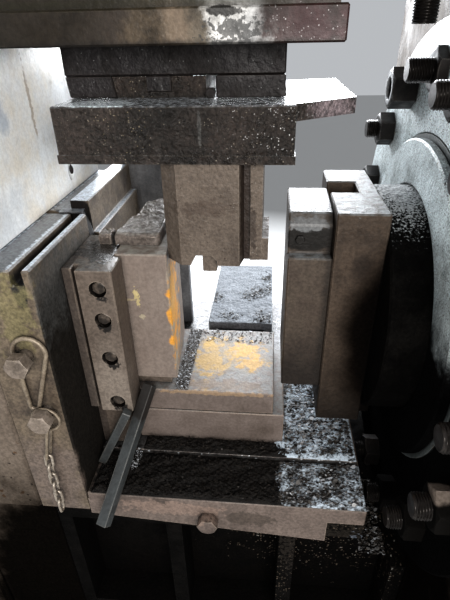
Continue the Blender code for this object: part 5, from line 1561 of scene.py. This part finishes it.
@dataclass(frozen=True)
class Drift:
    """Loose scale on a flat place: corners, height, number of flakes, their sizes and their tones."""

    low: Pair
    high: Pair
    level: float
    count: int
    size: Pair = (0.002, 0.006)
    tone: Pair = (0.0, 1.0)
    heap: float = 0.004
    clumps: int = 0


@dataclass
class Litter(Assembly):
    """Flakes of mill scale and grit that lie on the flat places."""

    clump: float = 0.018
    slope: float = 0.35
    thickness: Pair = (0.0004, 0.0012)
    drifts: dict[str, Drift] = field(default_factory=lambda: {
        "die_edge": Drift((-0.126, -0.130), (-0.090, 0.125), 0.817, 1600, (0.0012, 0.0042), (0.25, 1.0)),
        "die_rear": Drift((-0.10, 0.07), (0.108, 0.128), 0.817, 300, (0.0012, 0.004), (0.3, 1.0), 0.002),
        "bed_right": Drift((0.138, -0.174), (0.312, 0.20), 0.663, 3000, (0.0015, 0.008), (0.0, 0.9), 0.007),
        "bed_front": Drift((-0.20, -0.174), (0.14, -0.135), 0.665, 500, (0.001, 0.004), (0.0, 0.22), 0.008),
        "base_right": Drift((0.125, -0.297), (0.317, -0.179), 0.649, 1500, (0.0015, 0.007), (0.0, 0.85), 0.006),
        "base_left": Drift((-0.29, -0.297), (0.135, -0.179), 0.651, 1700, (0.001, 0.0035), (0.0, 0.2), 0.011),
        "bar_pile": Drift((-0.262, -0.235), (-0.205, -0.180), 0.648, 600, (0.0008, 0.0024), (0.6, 1.0), 0.02),
        "table": Drift((-0.09, 0.26), (0.105, 0.62), 0.7602, 500, (0.002, 0.006), (0.2, 0.9), 0.002, 9),
        "bed_step": Drift((0.34, -0.24), (0.415, 0.0), 0.3855, 700, (0.003, 0.008), (0.0, 0.8), 0.006),
    })

    def flakes(self, drift: Drift, seed: int) -> Shell:
        """Thin six-cornered plates, all worked out at once.

        Corner k of a flake is c + s (cos a_k, sin a_k) with its own radius, tilted by a small
        slope, once at the top and once a thickness below.

        Args:
            drift: where they lie and how they look.
            seed: seed of everything random.

        Returns:
            One shell that holds them all.
        """
        rng = np.random.default_rng(seed)
        count = drift.count
        spot = rng.uniform(drift.low, drift.high, (count, 2))
        if drift.clumps:
            core = rng.uniform(drift.low, drift.high, (drift.clumps, 2))[rng.integers(0, drift.clumps, count)]
            spot = core + rng.normal(size=(count, 2)) * self.clump
        size = drift.size[0] + (drift.size[1] - drift.size[0]) * rng.random(count) ** 3
        spot = np.clip(spot, np.add(drift.low, drift.size[1]), np.subtract(drift.high, drift.size[1]))
        angle = around(6) + rng.uniform(0, 2 * pi, (count, 1))
        radius = size[:, None] * rng.uniform(0.55, 1.0, (count, 6))
        slope = rng.normal(size=(count, 2)) * self.slope
        x, y = radius * np.cos(angle), radius * np.sin(angle) * rng.uniform(0.22, 0.8, (count, 1))
        rise = x * slope[:, :1] + y * slope[:, 1:]
        lift = drift.level + rng.random(count) ** 2 * drift.heap - rise.min(1)
        thick = rng.uniform(*self.thickness, (count, 1))
        low = np.stack([x + spot[:, :1], y + spot[:, 1:], rise + lift[:, None]], -1)
        high = low + np.stack([0 * thick, 0 * thick, thick], -1)
        points = np.concatenate([high, low], 1).reshape(-1, 3)
        plate = [(0, k, k + 1, -1) for k in range(1, 5)]
        under = [(6, 7 + k, 6 + k, -1) for k in range(1, 5)]
        sides = [(k, 6 + k, 6 + (k + 1) % 6, (k + 1) % 6) for k in range(6)]
        one = np.array(plate + under + sides)
        faces = np.where(one < 0, -1, one + np.arange(count)[:, None, None] * 12).reshape(-1, 4)
        tone = drift.tone[0] + (drift.tone[1] - drift.tone[0]) * rng.random(count) ** 1.6
        return Shell(points, faces, np.repeat(tone, 12))

    def make(self) -> None:
        """Scatter every drift."""
        material = self.material()
        for seed, (name, drift) in enumerate(self.drifts.items(), 40):
            build(f"scale_{name}", [self.flakes(drift, seed)], material, Body.FRAME,
                  sharp=20.0)

    @staticmethod
    def material() -> bpy.types.Material:
        """Scale from black to pale blue-grey by each flake's own tone."""
        graph = Graph("scale_flake")
        colour = graph.ramp(graph.tone(), ((0.0, (0.010, 0.009, 0.008)), (0.25, (0.05, 0.042, 0.036)),
                                           (0.6, (0.16, 0.155, 0.15)), (1.0, (0.70, 0.74, 0.80))))
        grain = graph.noise(400.0, 3.0)
        colour = graph.mix(graph.levels(grain, 0.55, 0.7, 0.0, 0.5), colour, (0.05, 0.035, 0.025))
        graph.surface(colour=colour, rough=0.45, metallic=0.1)
        graph.bump(grain, 0.0004)
        return graph.material


# ------------------------------------------------------------------ studio


@dataclass
class Studio:
    """Pale floor, soft light from behind and in front, and the camera of the photograph."""

    eye: Triple = (0.088, -0.953, 1.56)
    forward: Triple = (-0.0897, 0.8561, -0.5090)
    roll: float = -1.29
    lens: float = 27.72
    sensor: float = 36.0
    floor_half: float = 12.0

    def floor(self) -> None:
        """One flat pale sheet under the press."""
        corner = np.array([(-1, -1), (1, -1), (1, 1), (-1, 1)]) * self.floor_half
        mesh = bpy.data.meshes.new("studio_floor")
        mesh.from_pydata([(x, y, -0.0005) for x, y in corner.tolist()], [], [(0, 1, 2, 3)])
        graph = Graph("studio_floor")
        graph.surface(colour=(0.52, 0.52, 0.515), rough=0.9)
        mesh.materials.append(graph.material)
        floor = bpy.data.objects.new("studio_floor", mesh)
        bpy.context.scene.collection.objects.link(floor)
        floor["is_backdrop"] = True

    @staticmethod
    def lamp(name: str, place: Triple, aim: Triple, size: Pair, power: float, colour: Triple) -> None:
        """One soft rectangular light.

        Args:
            name: its name.
            place: where it hangs.
            aim: point that it faces.
            size: width and height.
            power: strength in watts.
            colour: colour in linear light.
        """
        data = bpy.data.lights.new(name, "AREA")
        data.shape = "RECTANGLE"
        data.size, data.size_y = size
        data.energy = power
        data.color = colour
        lamp = bpy.data.objects.new(name, data)
        lamp.location = place
        lamp.rotation_euler = (Vector(aim) - Vector(place)).to_track_quat("-Z", "Y").to_euler()
        bpy.context.scene.collection.objects.link(lamp)

    def lights(self) -> None:
        """Soft sky all round, a large window behind and a weak fill in front."""
        world = bpy.data.worlds.new("studio_sky")
        world.use_nodes = True
        sky = world.node_tree.nodes["Background"]
        sky.inputs["Color"].default_value = (0.93, 0.96, 1.0, 1.0)
        sky.inputs["Strength"].default_value = 0.46
        bpy.context.scene.world = world
        self.lamp("window_behind", (0.5, 2.6, 1.95), (0.0, 0.0, 0.95), (4.0, 1.2), 250.0, (0.93, 0.96, 1.0))
        self.lamp("fill_front", (0.55, -2.3, 1.9), (-0.2, 0.0, 1.0), (1.4, 1.0), 62.0, (1.0, 0.97, 0.93))

    def camera(self) -> None:
        """Camera at the photograph's place and angle, for an upright 3:4 picture."""
        data = bpy.data.cameras.new("photo_camera")
        data.lens, data.sensor_width = self.lens, self.sensor
        data.clip_start = 0.05
        camera = bpy.data.objects.new("photo_camera", data)
        camera.location = self.eye
        camera.rotation_mode = "QUATERNION"
        level = Vector(self.forward).to_track_quat("-Z", "Y")
        camera.rotation_quaternion = level @ Quaternion((0.0, 0.0, 1.0), radians(self.roll))
        bpy.context.scene.collection.objects.link(camera)
        bpy.context.scene.camera = camera

    def make(self) -> None:
        """Set up floor, lights, camera and the picture's contrast."""
        self.floor()
        self.lights()
        self.camera()
        settings = bpy.context.scene.view_settings
        settings.view_transform = "Standard"
        settings.look = "Medium High Contrast"
        settings.exposure = 0.0


def corners() -> list[list[float]]:
    """Lowest and highest corner of what shows, as plain lists."""
    return [list(corner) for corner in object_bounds()]


def main() -> None:
    """Load the frame, dress it and build the pieces in order."""
    logging.basicConfig(level=logging.INFO, format="%(name)s: %(message)s")
    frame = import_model()
    shop = Paintshop()
    dress_nodes(shop, frame["nodes"])
    Studio().make()
    for kind in (Fasteners, SideCylinder, RoundBars, Anchors, WeldSeams, HangingChain, DieCap, Heaps, Litter,
                 OilDrops):
        kind(shop).make()
        log.info("%s done", kind.__name__)


if __name__ == "__main__":
    main()
